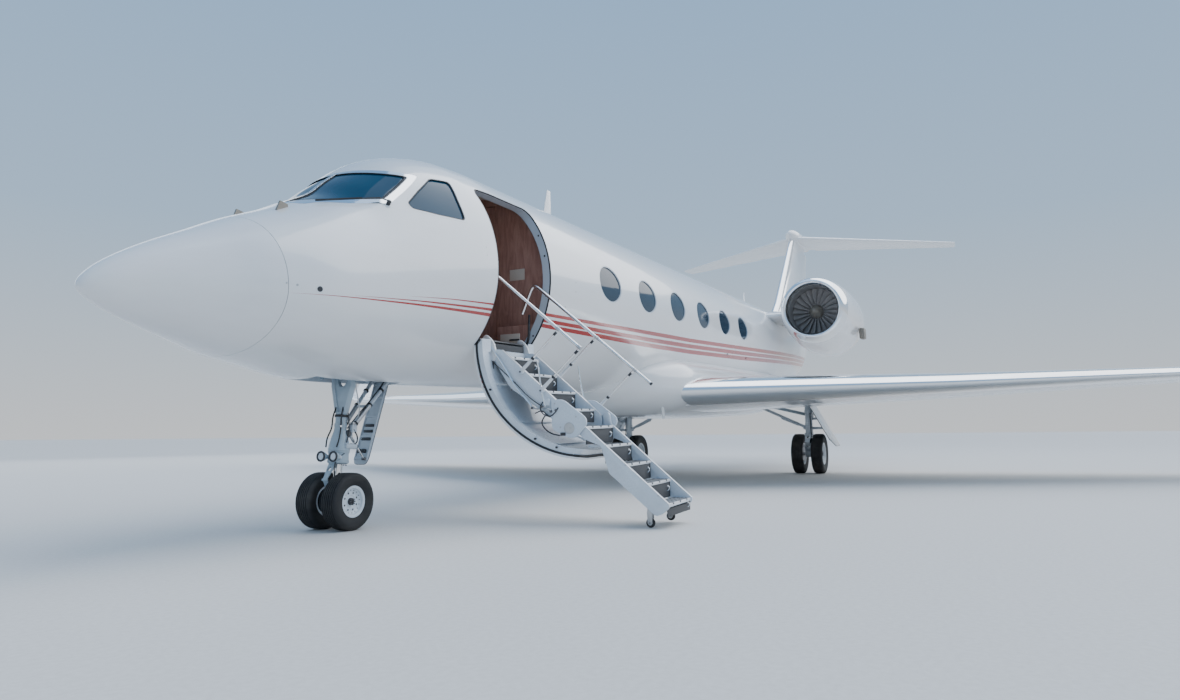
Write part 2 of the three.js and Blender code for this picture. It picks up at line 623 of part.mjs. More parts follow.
function wheelPair(wheel, axleRadius) {
  const half = wheel.width / 2;
  const dish = [[0.8, 0], [0.8, 0.3 * wheel.rim], [0.5, 0.6 * wheel.rim], [0.82, wheel.rim],
    [1, 0.84 * wheel.radius], [0.7, 0.975 * wheel.radius]];
  const outside = dish.map(([share, radius]) => [-share * half, radius]);
  const inside = dish.map(([share, radius]) => [share * half, radius]).reverse();
  const tyre = turned([...outside, [0, wheel.radius], ...inside], 16).rotate([0, 0, 90]);
  const side = (y) => tyre.translate([0, y, 0]);
  const axle = bar([0, -wheel.apart, 0], [0, wheel.apart, 0], axleRadius, EYE_SIDES);
  return joined(side(wheel.apart), side(-wheel.apart), axle);
}

const noseX = WHEELBASE;
const NOSE_LEG = {
  lean: 3.77,
  eye: 62,
  axleRadius: 26,
  pistonRadius: 44,
  collar: { from: 600, to: 720, radius: 84 },
  barrel: { to: 955, radius: 84 },
  neck: { to: 1075, radius: 52 },
  fork: { from: 1060, to: 1300, spread: 96, radius: 34 },
  trunnion: { z: 1540, radius: 36 },
};
const LAMP = { z: 665, y: 76, reach: 100, radius: 46, depth: 75 };
const NOSE_DOOR = { x: 10950, z: 1420, foot: [11240, 590], halfWidth: 92, thick: 22, hinge: 26 };
const BRACE = { low: [11462, 880], y: 55, radius: 21 };

const eyeBar = (y0, y1, radius, x, z) => bar([x, y0, z], [x, y1, z], radius, EYE_SIDES);
// A bore whose flats clear the axle's corners as it turns.
const eyeBore = (y0, y1, axleRadius, x, z) =>
  eyeBar(y0, y1, (axleRadius + AXLE_GAP) / Math.cos(Math.PI / EYE_SIDES), x, z);

// The nose leg is drawn upright over its axle and then leans aft about it.
const leaned = (solid) => solid.translate([-noseX, 0, -NOSE_WHEEL.radius]).rotate([0, -NOSE_LEG.lean, 0])
  .translate([noseX, 0, NOSE_WHEEL.radius]);
const upright = (from, to, radius, y = 0, topY = y) => bar([noseX, y, from], [noseX, topY, to], radius, 14);

function noseSteered() {
  const z = NOSE_WHEEL.radius;
  const { eye, collar } = NOSE_LEG;
  const piston = upright(z, collar.to, NOSE_LEG.pistonRadius);
  const torqueLink = joined(bar([noseX + 20, 0, z + 40], [noseX + 150, 0, z + 190], 20, 8),
    bar([noseX + 150, 0, z + 190], [noseX + 50, 0, collar.from + 30], 20, 8));
  const lampX = noseX + LAMP.reach;
  const lampBar = joined(
    bar([noseX, 0, LAMP.z], [lampX, 0, LAMP.z], 18, 8),
    bar([lampX, -LAMP.y, LAMP.z], [lampX, LAMP.y, LAMP.z], 16, 8),
    ...[LAMP.y, -LAMP.y].map((y) =>
      bar([lampX - 20, y, LAMP.z], [lampX - 20 + LAMP.depth, y, LAMP.z], LAMP.radius, 14)),
  );
  const ring = upright(collar.from, collar.to, collar.radius);
  return leaned(cut(joined(piston, eyeBar(-52, 52, eye, noseX, z), torqueLink, ring, lampBar),
    eyeBore(-60, 60, NOSE_LEG.axleRadius, noseX, z)));
}

function noseFixed() {
  const { collar, barrel, neck, fork, trunnion } = NOSE_LEG;
  const inWell = NOSE_WELL.halfWidth - SKIN_GAP;
  const leg = leaned(joined(
    upright(collar.to + SKIN_GAP, barrel.to, barrel.radius),
    upright(barrel.to - 5, neck.to, neck.radius),
    upright(fork.from, fork.to, fork.radius, 10, fork.spread),
    upright(fork.from, fork.to, fork.radius, -10, -fork.spread),
    upright(fork.to - 10, trunnion.z, fork.radius, fork.spread),
    upright(fork.to - 10, trunnion.z, fork.radius, -fork.spread),
    bar([noseX, -fork.spread, fork.to], [noseX, fork.spread, fork.to], 26, 10),
    bar([noseX, -inWell, trunnion.z], [noseX, inWell, trunnion.z], trunnion.radius, 14),
  ));
  const { x, z, foot, halfWidth, thick, hinge } = NOSE_DOOR;
  const [lowX, lowZ] = BRACE.low;
  const braces = [BRACE.y, -BRACE.y].map((y) => bar([lowX, y, lowZ], [x, 2 * y, z], BRACE.radius, 10));
  const door = plateAlong([[x, z], foot, [foot[0] - thick, foot[1]], [x - thick, z]].map(([along, up]) =>
    [NOSE_AHEAD - along, up]), -halfWidth, halfWidth);
  return joined(leg, ...braces, door, bar([x, -inWell, z], [x, inWell, z], hinge, 12));
}

const MAIN_LEG = { radius: 72, pistonRadius: 52, axleRadius: 45, top: 1490 };
// The door on the main leg leans outwards from the wing down to beside the outer tyre.
const MAIN_DOOR = { top: [2150, 1440], foot: [2640, 560], thick: 28, reach: 400, corner: [100, 730] };
const DOOR_ARM_RADIUS = 22;
const doorSide = (z) => MAIN_DOOR.top[0] + (MAIN_DOOR.foot[0] - MAIN_DOOR.top[0])
  * (MAIN_DOOR.top[1] - z) / (MAIN_DOOR.top[1] - MAIN_DOOR.foot[1]);
const onGround = (solid) => solid.rotate([0, THREE.MathUtils.radToDeg(NOSE_DOWN), 0]);
function mainLeg() {
  const y = TRACK / 2;
  const z = MAIN_WHEEL.radius;
  const piston = bar([0, y, z], [0, y, 800], MAIN_LEG.pistonRadius, 10);
  const cylinder = bar([0, y, 780], [0, y, MAIN_LEG.top], MAIN_LEG.radius, 12);
  const doorArms = [950, 1150].map((height) =>
    bar([0, y, height], [0, doorSide(height + DOOR_ARM_RADIUS) - SKIN_GAP, height], DOOR_ARM_RADIUS, 8));
  const eye = eyeBar(y - 70, y + 70, 78, 0, z);
  const strut = bar([0, y, 960], [76, 1060, 1414], 34, 8);
  const knee = [230, y, z + 250];
  const link = joined(bar([60, y, z + 60], knee, 24, 8), bar(knee, [50, y, z + 430], 24, 8));
  return cut(joined(piston, cylinder, eye, strut, link, ...doorArms),
    eyeBore(y - 80, y + 80, MAIN_LEG.axleRadius, 0, z),
    onGround(wingBox(SEAT_GAP)), onGround(fairingBody(SEAT_GAP)));
}

function mainDoor() {
  const { top, foot, thick, reach, corner } = MAIN_DOOR;
  const slab = plateAcross([top, foot, [foot[0] + thick, foot[1]], [top[0] + thick, top[1]]], -reach, reach);
  const outline = [[-reach, top[1]], [-reach, foot[1]], [corner[0], foot[1]], [reach, corner[1]], [reach, top[1]]];
  const fromTheSide = plateAlong(outline.map(([x, z]) => [NOSE_AHEAD - x, z]), top[0], foot[0] + thick);
  return cut(slab.intersect(fromTheSide), onGround(wingBox(SEAT_GAP)));
}

// Airstair door and its steps, drawn open
const STAIR = {
  middle: 3900,
  stringer: [305, 335],
  lower: [298, 328],
  plate: [338, 362],
  fold: { y: 1940, z: 1290 },
};
const UPPER = { y: 1373, z: 1730, going: 217, rise: 181, steps: 3, half: 310 };
const LOWER = { y: 2020, z: 1195, going: 203, rise: 177, steps: 5, half: 303 };
const TREAD_THICK = 28;

const turnAbout = (solid, y, z, angle) => solid.translate([0, -y, -z])
  .rotate([THREE.MathUtils.radToDeg(angle), 0, 0]).translate([0, y, z]);

const doorWall = (grow) => cut(hull(DOORWAY.front - 100, DOORWAY.back + 100, -grow),
  hull(DOORWAY.front - 200, DOORWAY.back + 200, WALL + grow)).intersect(doorBlock(grow - DOOR_GAP));
// The hinge runs along the sill: a strip that rests on it and carries the door's lower edge.
const HINGE_STRIP = [[820, 2033.4], [880, 2033.4], [950, 2078], [935, 2095], [870, 2060], [820, 2060]];
const hingeStrip = (grow) => plateAcross(widened(HINGE_STRIP, grow),
  ahead(DOORWAY.back - 20) - grow, ahead(DOORWAY.front + 20) + grow);
// The open door's room in its neighbours.
const openDoorRoom = (grow) => turnAbout(doorWall(grow), HINGE.y, HINGE.z, -DOOR_TURN);
const openDoor = joined(openDoorRoom(0), hingeStrip(0));

const steps = (flight) => [...Array(flight.steps).keys()].map((index) => {
  const y = flight.y + index * flight.going;
  const z = flight.z - index * flight.rise;
  const middle = ahead(STAIR.middle);
  return box(middle - flight.half, middle + flight.half, y - flight.going + 5, y, z - TREAD_THICK, z);
});
const bothStringers = (outline, [inner, outer]) => [1, -1].map((side) =>
  plateAcross(outline, ahead(STAIR.middle) + side * inner, ahead(STAIR.middle) + side * outer));

const UPPER_STRINGER = [[960, 1990], [1075, 1982], [1885, 1293], [1885, 1110], [1560, 1330],
  [1150, 1600], [1030, 1800]];
const KNUCKLE_PLATE = [[1662, 1461], [1780, 1458], [2025, 1290], [2038, 1215], [1926, 1083], [1843, 1083],
  [1662, 1170]];
const PLATE_PACKING = { outline: [[1680, 1250], [1870, 1150], [1870, 1280], [1680, 1420]], place: [330, 345] };
const LOWER_STRINGER = [[1902, 1305], [1922, 1328], [1958, 1328], [1978, 1305], [1990, 1204], [2845, 476],
  [2836, 446], [2775, 394], [2712, 372], [2250, 752], [2170, 1010], [1990, 1075], [1902, 1160]];
const CASTER = { side: 260, y: 2640, z: 308, radius: 45, width: 30, stem: 50 };
const stairX = ahead(STAIR.middle);

const stairUpper = joined(...bothStringers(UPPER_STRINGER, STAIR.stringer), ...steps(UPPER),
  ...bothStringers(KNUCKLE_PLATE, STAIR.plate), ...bothStringers(PLATE_PACKING.outline, PLATE_PACKING.place));
const casters = [stairX + CASTER.side, stairX - CASTER.side].flatMap((x) => [
  bar([x, CASTER.y, CASTER.z], [x + CASTER.width, CASTER.y, CASTER.z], CASTER.radius, 14),
  box(x + 2, x + CASTER.width - 2, CASTER.y - CASTER.stem / 2, CASTER.y + CASTER.stem / 2, CASTER.z - 18, 480),
]);
const casterBeam = box(stairX - LOWER.half, stairX + LOWER.half, 2600, 2700, 455, 475);
const foldBosses = [1, -1].map((side) => bar([stairX + side * 315, STAIR.fold.y, STAIR.fold.z],
  [stairX + side * (STAIR.plate[0] - SKIN_GAP), STAIR.fold.y, STAIR.fold.z], 28, 12));
const stairLower = cut(
  joined(...foldBosses, ...bothStringers(LOWER_STRINGER, STAIR.lower), ...steps(LOWER), ...casters, casterBeam),
  box(stairX - 340, stairX + 340, 1500, 1900, 900, 1500),
  openDoorRoom(MOVING_GAP),
);

const doorGroup = new THREE.Group();
add(doorGroup, "cabin_door", openDoor, PAINT);
add(doorGroup, "stair_upper", cut(stairUpper, openDoorRoom(SKIN_GAP), hingeStrip(SKIN_GAP)), TREAD);
add(doorGroup, "stair_lower", stairLower, TREAD);
airframe.add(doorGroup);

// Handrails: each a sloping rail on two parallel posts that stand on the upper flight
const RAIL = {
  middle: 400,
  radius: 16,
  postMiddle: 374,
  postRadius: 10,
  slope: -0.842,
  topY: 1050,
  topZ: 2750,
};
const POST = { y: 445, z: 400 };
const RAILS = [
  { side: "front", sign: 1, end: 2010, feet: [{ y: 1325, inner: 335.5 }, { y: 1555, inner: 335.5 }] },
  { side: "back", sign: -1, end: 2410, feet: [{ y: 1355, inner: 335.5 }, { y: 1785, inner: 362.5 }] },
];
const railHeight = (y) => RAIL.topZ + RAIL.slope * (y - RAIL.topY);
for (const { side, sign, end, feet } of RAILS) {
  const across = (distance) => ahead(STAIR.middle) + sign * distance;
  const path = [[880, 2440], [RAIL.topY - 20, RAIL.topZ], [RAIL.topY + 60, railHeight(RAIL.topY + 60)],
    [end, railHeight(end)]].map(([y, z]) => [across(RAIL.middle), y, z]);
  const runs = path.slice(1).map((point, i) => bar(path[i], point, RAIL.radius, 10));
  const posts = feet.flatMap((foot) => {
    const top = [foot.y + POST.y, railHeight(foot.y + POST.y)];
    const base = [foot.y, top[1] - POST.z];
    return [
      bar([across(RAIL.postMiddle), ...base], [across(RAIL.postMiddle), ...top], RAIL.postRadius, 8),
      bar([across(foot.inner), ...base], [across(RAIL.postMiddle + 12), ...base], 24, 10),
      bar([across(RAIL.postMiddle - 10), ...top], [across(RAIL.middle), ...top], 14, 8),
    ];
  });
  add(doorGroup, `handrail_${side}`, joined(...runs, ...posts), METAL);
}

for (const [side, turn] of Object.entries(bothSides)) {
  add(airframe, `wing_${side}`, turn(wingBox(0)), PAINT);
  add(airframe, `leading_edge_${side}`,
    cut(turn(wingPart(1100, WING_TIP, 0, SLAT_SHARE, { rearGap: SKIN_GAP })), fairingBody(SEAT_GAP)), METAL);
  const surface = ({ from, to }) => turn(wingPart(from, to, REAR_SHARE, 1, { frontGap: SKIN_GAP }));
  add(airframe, `flap_${side}`, surface(FLAP), PAINT);
  add(airframe, `aileron_${side}`, surface(AILERON), PAINT);
  add(airframe, `winglet_${side}`, turn(wingTipPiece), PAINT);
  const mounted = (solid) => turn(solid.translate([ahead(ENGINE.front), ENGINE.y, ENGINE.z]));
  add(airframe, `intake_lip_${side}`, mounted(enginePiece(LIP)), METAL);
  add(airframe, `engine_cowl_${side}`, mounted(cowl), PAINT);
  add(airframe, `engine_core_${side}`, mounted(engineCore()), DARK);
  add(airframe, `fan_${side}`, mounted(fan()), DARK);
  add(airframe, `pylon_${side}`, turn(pylon()), PAINT);
  add(ground, `main_leg_${side}`, turn(mainLeg()), GREY);
  add(ground, `main_wheels_${side}`, turn(wheelPair(MAIN_WHEEL, MAIN_LEG.axleRadius)
    .translate([0, TRACK / 2, MAIN_WHEEL.radius])), RUBBER);
  add(ground, `main_gear_door_${side}`,
    turn(mainDoor()), PAINT);
}
add(ground, "nose_wheels",
  wheelPair(NOSE_WHEEL, NOSE_LEG.axleRadius).translate([noseX, 0, NOSE_WHEEL.radius]), RUBBER);
add(ground, "nose_leg_steered", noseSteered(), GREY);
add(ground, "nose_leg_fixed", noseFixed(), GREY);

export default jet;
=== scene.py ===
"""A business jet on its landing gear with its airstair down, in the CAD model's own frame, in metres.

Sizes in the tables are millimetres. Airframe tables count stations aft from the tip of the nose, on the
airframe's own level axes; it then sits nose-down on its gear.
"""
import json
import math

import bpy
from mathutils import Matrix, Vector

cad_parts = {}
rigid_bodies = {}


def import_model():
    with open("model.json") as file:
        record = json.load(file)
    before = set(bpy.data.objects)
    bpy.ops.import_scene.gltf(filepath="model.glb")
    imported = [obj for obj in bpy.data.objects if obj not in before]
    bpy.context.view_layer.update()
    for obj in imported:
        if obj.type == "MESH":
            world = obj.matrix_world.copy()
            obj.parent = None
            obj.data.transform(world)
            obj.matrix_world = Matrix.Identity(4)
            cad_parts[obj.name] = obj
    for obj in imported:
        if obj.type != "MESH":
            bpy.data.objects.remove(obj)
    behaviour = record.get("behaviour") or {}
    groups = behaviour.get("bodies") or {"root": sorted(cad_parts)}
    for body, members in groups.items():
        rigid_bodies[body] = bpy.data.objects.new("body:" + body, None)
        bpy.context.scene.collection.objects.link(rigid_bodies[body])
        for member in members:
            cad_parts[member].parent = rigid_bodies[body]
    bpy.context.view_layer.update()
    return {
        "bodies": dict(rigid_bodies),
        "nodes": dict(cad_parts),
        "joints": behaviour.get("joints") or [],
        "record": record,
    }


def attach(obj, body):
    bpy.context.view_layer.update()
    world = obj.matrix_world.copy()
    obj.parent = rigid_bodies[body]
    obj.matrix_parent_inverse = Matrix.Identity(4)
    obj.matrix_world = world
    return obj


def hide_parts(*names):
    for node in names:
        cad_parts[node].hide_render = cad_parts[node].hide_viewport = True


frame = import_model()

MM = 0.001
NOSE_DOWN = math.radians(1.4535)
ORIGIN_AHEAD = 0.533
ON_GROUND = Matrix.Translation((-ORIGIN_AHEAD, 0, 0))
ON_AIRFRAME = ON_GROUND @ Matrix.Rotation(NOSE_DOWN, 4, "Y")
NOSE_AHEAD = 13916
WALL = 100
LINING = WALL + 1
FLOOR_TOP = 1985
BOTH_SIDES = (1, -1)
AFT = (-1, 0, 0)
HINGE_AT = Vector((0, 0.877, 2.033))
DOOR_TURN = math.radians(-135.7)


def ahead(station):
    """The distance ahead of the main axle that belongs to a station."""
    return NOSE_AHEAD - station


def place(station, y, z):
    """A point of the level airframe, in metres, from its station and its distances out and up."""
    return (ahead(station) * MM, y * MM, z * MM)


# Lines and tables

def line_through(places, values):
    """A smooth line through the given values, which never overshoots them."""
    steps = [(values[i + 1] - values[i]) / (places[i + 1] - places[i]) for i in range(len(places) - 1)]
    slopes = [steps[0]]
    for before, after in zip(steps, steps[1:]):
        slopes.append(0 if before * after <= 0 else 2 * before * after / (before + after))
    slopes.append(steps[-1])

    def value(at):
        i = 0
        while i < len(places) - 2 and places[i + 1] < at:
            i += 1
        span = places[i + 1] - places[i]
        t = (at - places[i]) / span
        start = (1 + 2 * t) * (1 - t) ** 2 * values[i] + t * (1 - t) ** 2 * span * slopes[i]
        return start + t * t * (3 - 2 * t) * values[i + 1] + t * t * (t - 1) * span * slopes[i + 1]

    return value


def columns_of(rows, bend=lambda at: at):
    """One smooth line for each column of a table, along its first column."""
    places = [bend(row[0]) for row in rows]
    return [line_through(places, [row[k] for row in rows]) for k in range(1, len(rows[0]))]


def steps_between(start, end, count):
    return [start + (end - start) * i / count for i in range(count + 1)]


# Modelling

def deselect():
    bpy.ops.object.select_all(action="DESELECT")


def take(piece):
    deselect()
    piece.select_set(True)
    bpy.context.view_layer.objects.active = piece


def new_piece(name):
    piece = bpy.context.object
    piece.name = name
    piece.data.name = name
    return piece


def edit(piece, mode="FACE"):
    take(piece)
    bpy.ops.object.mode_set(mode="EDIT")
    bpy.ops.mesh.select_mode(type=mode)


def done_editing():
    bpy.ops.object.mode_set(mode="OBJECT")


def close_up(piece, holes=False, merge=0.00002):
    """Merges doubled points, closes open ends where asked, and turns every face outwards."""
    edit(piece, "VERT")
    bpy.ops.mesh.select_all(action="SELECT")
    bpy.ops.mesh.remove_doubles(threshold=merge)
    if holes:
        bpy.ops.mesh.fill_holes(sides=0)
    bpy.ops.mesh.select_all(action="SELECT")
    bpy.ops.mesh.normals_make_consistent(inside=False)
    done_editing()
    return piece


def skin(name, rings, loop=True, holes=False):
    """A grid whose rows are laid on the given rings, with its seam closed."""
    rows = len(rings)
    columns = len(rings[0])
    across = columns if loop else columns - 1
    deselect()
    bpy.ops.mesh.primitive_grid_add(x_subdivisions=across, y_subdivisions=rows - 1, size=2)
    piece = new_piece(name)
    for vertex in piece.data.vertices:
        column = round((vertex.co.x + 1) / 2 * across) % columns
        row = round((vertex.co.y + 1) / 2 * (rows - 1))
        vertex.co = rings[row][column]
    return close_up(piece, holes)


def modify(piece, kind, **settings):
    take(piece)
    modifier = piece.modifiers.new(kind.title(), kind)
    for key, value in settings.items():
        setattr(modifier, key, value)
    bpy.ops.object.modifier_apply(modifier=modifier.name)
    return piece


def bevel(piece, width, segments=2, angle=30):
    return modify(piece, "BEVEL", width=width * MM, segments=segments, limit_method="ANGLE",
                  angle_limit=math.radians(angle), harden_normals=False)


def smooth(piece, angle=35):
    take(piece)
    bpy.ops.object.shade_smooth_by_angle(angle=math.radians(angle))
    return piece


def combine(piece, others, operation="DIFFERENCE"):
    """Cuts the others out of a piece, or joins or crosses them with it, and uses them up."""
    for other in others:
        modify(piece, "BOOLEAN", object=other, operation=operation, solver="EXACT")
        bpy.data.objects.remove(other)
    return piece


def join(name, pieces):
    deselect()
    for piece in pieces:
        piece.select_set(True)
    bpy.context.view_layer.objects.active = pieces[0]
    if len(pieces) > 1:
        bpy.ops.object.join()
    return new_piece(name)


def block(name, low, high, round_edge=0):
    """A box between two corners, in millimetres, with rounded edges where asked."""
    deselect()
    bpy.ops.mesh.primitive_cube_add(size=1)
    piece = new_piece(name)
    for vertex in piece.data.vertices:
        vertex.co = [((a + b) / 2 + v * abs(b - a)) * MM for a, b, v in zip(low, high, vertex.co)]
    if round_edge:
        bevel(piece, round_edge)
    return piece


def turn_to(direction):
    return Vector(direction).to_track_quat("Z", "Y").to_matrix().to_4x4()


def lathe(name, profile, origin=(0, 0, 0), axis=(0, 0, 1), sides=32):
    """A profile of distances along an axis and radii, in millimetres, turned about that axis."""
    turns = [2 * math.pi * i / sides for i in range(sides)]
    rings = [[Vector((radius * math.cos(turn), radius * math.sin(turn), along)) * MM for turn in turns]
             for along, radius in profile]
    piece = skin(name, rings, holes=True)
    piece.data.transform(Matrix.Translation(Vector(origin) * MM) @ turn_to(axis))
    return piece


def rod(name, start, end, radius, end_radius=None, sides=16, round_end=0):
    """A round bar between two points, in millimetres, with its rims rounded where asked."""
    run = Vector(end) - Vector(start)
    last = radius if end_radius is None else end_radius
    cut = round_end or min(radius, last) * 0.12
    profile = [(0, 0), (0, radius - cut), (cut, radius), (run.length - cut, last), (run.length, last - cut),
               (run.length, 0)]
    return lathe(name, profile, start, run, sides)


def tube(name, points, radius, sides=10):
    """A pipe or hose along a smooth curve through points, in millimetres."""
    deselect()
    bpy.ops.curve.primitive_bezier_curve_add()
    curve = bpy.context.object
    spline = curve.data.splines[0]
    spline.bezier_points.add(len(points) - 2)
    for knot, point in zip(spline.bezier_points, points):
        knot.co = Vector(point) * MM
        knot.handle_left_type = "AUTO"
        knot.handle_right_type = "AUTO"
    curve.data.dimensions = "3D"
    curve.data.bevel_depth = radius * MM
    curve.data.bevel_resolution = max(1, sides // 4)
    curve.data.resolution_u = 6
    curve.data.use_fill_caps = True
    take(curve)
    bpy.ops.object.convert(target="MESH")
    return close_up(new_piece(name), merge=0.00001)


def plate(name, outline, low, high, across="Y", round_edge=0):
    """A flat outline given thickness along Y or X. Outline corners are pairs in the plane's own axes."""
    deselect()
    bpy.ops.mesh.primitive_circle_add(vertices=len(outline), radius=1, fill_type="NGON")
    piece = new_piece(name)
    for vertex, (a, b) in zip(piece.data.vertices, outline):
        vertex.co = (a * MM, low * MM, b * MM) if across == "Y" else (low * MM, a * MM, b * MM)
    edit(piece)
    bpy.ops.mesh.select_all(action="SELECT")
    run = (high - low) * MM
    way = (0, run, 0) if across == "Y" else (run, 0, 0)
    bpy.ops.mesh.extrude_region_move(TRANSFORM_OT_translate={"value": way})
    bpy.ops.mesh.select_all(action="SELECT")
    bpy.ops.mesh.normals_make_consistent(inside=False)
    done_editing()
    if round_edge:
        bevel(piece, round_edge)
    return piece


def side_plate(name, outline, y_low, y_high, round_edge=0):
    """A plate seen from the side, its outline in station and height."""
    return plate(name, [(ahead(s), z) for s, z in outline], y_low, y_high, "Y", round_edge)


def arc(centre, radius, start, end, count, tall=None):
    """Points on part of a circle or oval, angles in degrees."""
    points = []
    for angle in steps_between(start, end, count):
        turn = math.radians(angle)
        points.append((centre[0] + radius * math.cos(turn), centre[1] + (tall or radius) * math.sin(turn)))
    return points


def rounded(outline, radius):
    """An outline with its corners rounded."""
    points = []
    for i, corner in enumerate(outline):
        here = Vector(corner)
        before = Vector(outline[i - 1]) - here
        after = Vector(outline[(i + 1) % len(outline)]) - here
        reach = min(radius, before.length * 0.45, after.length * 0.45)
        first = here + before.normalized() * reach
        last = here + after.normalized() * reach
        for t in steps_between(0, 1, 4):
            points.append(tuple(first * (1 - t) ** 2 + here * 2 * t * (1 - t) + last * t * t))
    return points


def widened(outline, distance):
    """An outline moved outwards all round, or inwards where the distance is negative."""
    points = [Vector(point) for point in outline]
    area = sum(a.x * b.y - b.x * a.y for a, b in zip(points, points[1:] + points[:1]))
    way = 1 if area > 0 else -1
    moved = []
    for i, here in enumerate(points):
        before = (here - points[i - 1]).normalized()
        after = (points[(i + 1) % len(points)] - here).normalized()
        side = Vector((before.y + after.y, -before.x - after.x)) * way
        moved.append(tuple(here + side * (distance / (1 + before.dot(after)))))
    return moved


def mirrored(piece, name):
    """The same piece on the other side of the middle plane."""
    take(piece)
    bpy.ops.object.duplicate()
    other = new_piece(name)
    other.data.transform(Matrix.Scale(-1, 4, (0, 1, 0)))
    edit(other)
    bpy.ops.mesh.select_all(action="SELECT")
    bpy.ops.mesh.flip_normals()
    done_editing()
    return other


def paint(piece, *materials):
    piece.data.materials.clear()
    for material in materials:
        piece.data.materials.append(material)
    for face in piece.data.polygons:
        face.material_index = 0
    return piece


def painted(material, *parts):
    """The given parts, all with one finish."""
    return [paint(part, material) for part in parts]


def paint_where(piece, index, test):
    """Gives the faces that pass a test another of the piece's finishes."""
    for face in piece.data.polygons:
        if test(face):
            face.material_index = index
    return piece


def mount(piece, body="airframe", stands_for=(), on=ON_AIRFRAME):
    """Puts a finished piece into the world, on its body, in place of its CAD nodes."""
    piece.data.transform(on)
    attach(piece, body)
    if stands_for:
        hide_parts(*([stands_for] if isinstance(stands_for, str) else stands_for))
    return piece


# Finishes: a little tool box for nodes, and shared effects as groups

class Nodes:
    """Adds and links nodes in one tree."""

    def __init__(self, tree):
        self.tree = tree

    def add(self, kind, settings=None, **inputs):
        node = self.tree.nodes.new(kind)
        for key, value in (settings or {}).items():
            setattr(node, key, value)
        for key, value in inputs.items():
            self.set(node, key.replace("_", " "), value)
        return node

    def set(self, node, key, value):
        socket = node.inputs[key]
        if isinstance(value, bpy.types.NodeSocket):
            self.tree.links.new(value, socket)
        else:
            socket.default_value = value

    def math(self, operation, a, b=0.0, c=0.0):
        node = self.tree.nodes.new("ShaderNodeMath")
        node.operation = operation
        for i, value in enumerate((a, b, c)):
            if isinstance(value, bpy.types.NodeSocket):
                self.tree.links.new(value, node.inputs[i])
            else:
                node.inputs[i].default_value = value
        return node.outputs[0]

    def ramp(self, value, *stops):
        node = self.add("ShaderNodeValToRGB")
        self.tree.links.new(value, node.inputs[0])
        for i, (at, tone) in enumerate(stops):
            stop = node.color_ramp.elements[i] if i < 2 else node.color_ramp.elements.new(at)
            stop.position = at
            stop.color = (*tone, 1) if isinstance(tone, tuple) else (tone, tone, tone, 1)
        return node.outputs[0]

    def mix(self, share, a, b):
        node = self.tree.nodes.new("ShaderNodeMix")
        node.data_type = "RGBA"
        for i, value in ((0, share), (6, a), (7, b)):
            if isinstance(value, bpy.types.NodeSocket):
                self.tree.links.new(value, node.inputs[i])
            else:
                node.inputs[i].default_value = (*value, 1) if isinstance(value, tuple) else value
        return node.outputs[2]


def effect(name, outputs, inputs=()):
    """A node group whose outputs are masks and values."""
    group = bpy.data.node_groups.new(name, "ShaderNodeTree")
    for label, kind, value in inputs:
        socket = group.interface.new_socket(label, in_out="INPUT", socket_type=kind)
        socket.default_value = value
    for label, kind in outputs:
        group.interface.new_socket(label, in_out="OUTPUT", socket_type=kind)
    nodes = Nodes(group)
    return nodes, nodes.add("NodeGroupInput").outputs, nodes.add("NodeGroupOutput")


FLOAT = "NodeSocketFloat"


def level_axes(nodes, door_open=False):
    """Distance ahead of the main axle, out to port and up, on the airframe's own level axes.

    On the open door the places are turned back about its hinge, to where they lie when it is shut.
    """
    where = nodes.add("ShaderNodeTexCoord").outputs["Object"]
    level = nodes.add("ShaderNodeMapping", {"vector_type": "POINT"}, Vector=where)
    level.inputs["Rotation"].default_value = (0, -NOSE_DOWN, 0)
    level.inputs["Location"].default_value = (ORIGIN_AHEAD * math.cos(NOSE_DOWN), 0,
                                              ORIGIN_AHEAD * math.sin(NOSE_DOWN))
    place_on_it = level.outputs[0]
    if door_open:
        turned = nodes.add("ShaderNodeVectorRotate", {"rotation_type": "X_AXIS"}, Vector=place_on_it)
        turned.inputs["Center"].default_value = HINGE_AT
        turned.inputs["Angle"].default_value = -DOOR_TURN
        place_on_it = turned.outputs[0]
    return nodes.add("ShaderNodeSeparateXYZ", Vector=place_on_it).outputs


# Three tapering stripes: the height of each one's middle by station, lowest stripe first
STRIPES = [
    [(1124, 2270), (2200, 2296), (3368, 2315), (4587, 2310), (7584, 2315), (9336, 2334), (12274, 2400),
     (16682, 2527), (20500, 2660)],
    [(1596, 2297), (2400, 2334), (3368, 2366), (4547, 2366), (7508, 2391), (9249, 2420), (12170, 2492),
     (16598, 2622), (20500, 2757)],
    [(2172, 2356), (2700, 2392), (3368, 2419), (4500, 2432), (7430, 2482), (9167, 2510), (12088, 2590),
     (16551, 2718), (20500, 2855)],
]
STRIPE_HALF = [(0, 0), (2300, 17), (6000, 29), (12000, 38), (20000, 38)]
CURVE_LENGTH = 25000


def float_curve(nodes, value, points, low, high):
    """A value read from straight lines between points, the first of each pair over the curve's length."""
    node = nodes.add("ShaderNodeFloatCurve", Value=value)
    curve = node.mapping.curves[0]
    for i, (at, height) in enumerate(points):
        spot = (at / CURVE_LENGTH, (height - low) / (high - low))
        if i < 2:
            curve.points[i].location = spot
        else:
            curve.points.new(*spot)
    for point in curve.points:
        point.handle_type = "VECTOR"
    node.mapping.update()
    return nodes.math("MULTIPLY_ADD", node.outputs[0], high - low, low)


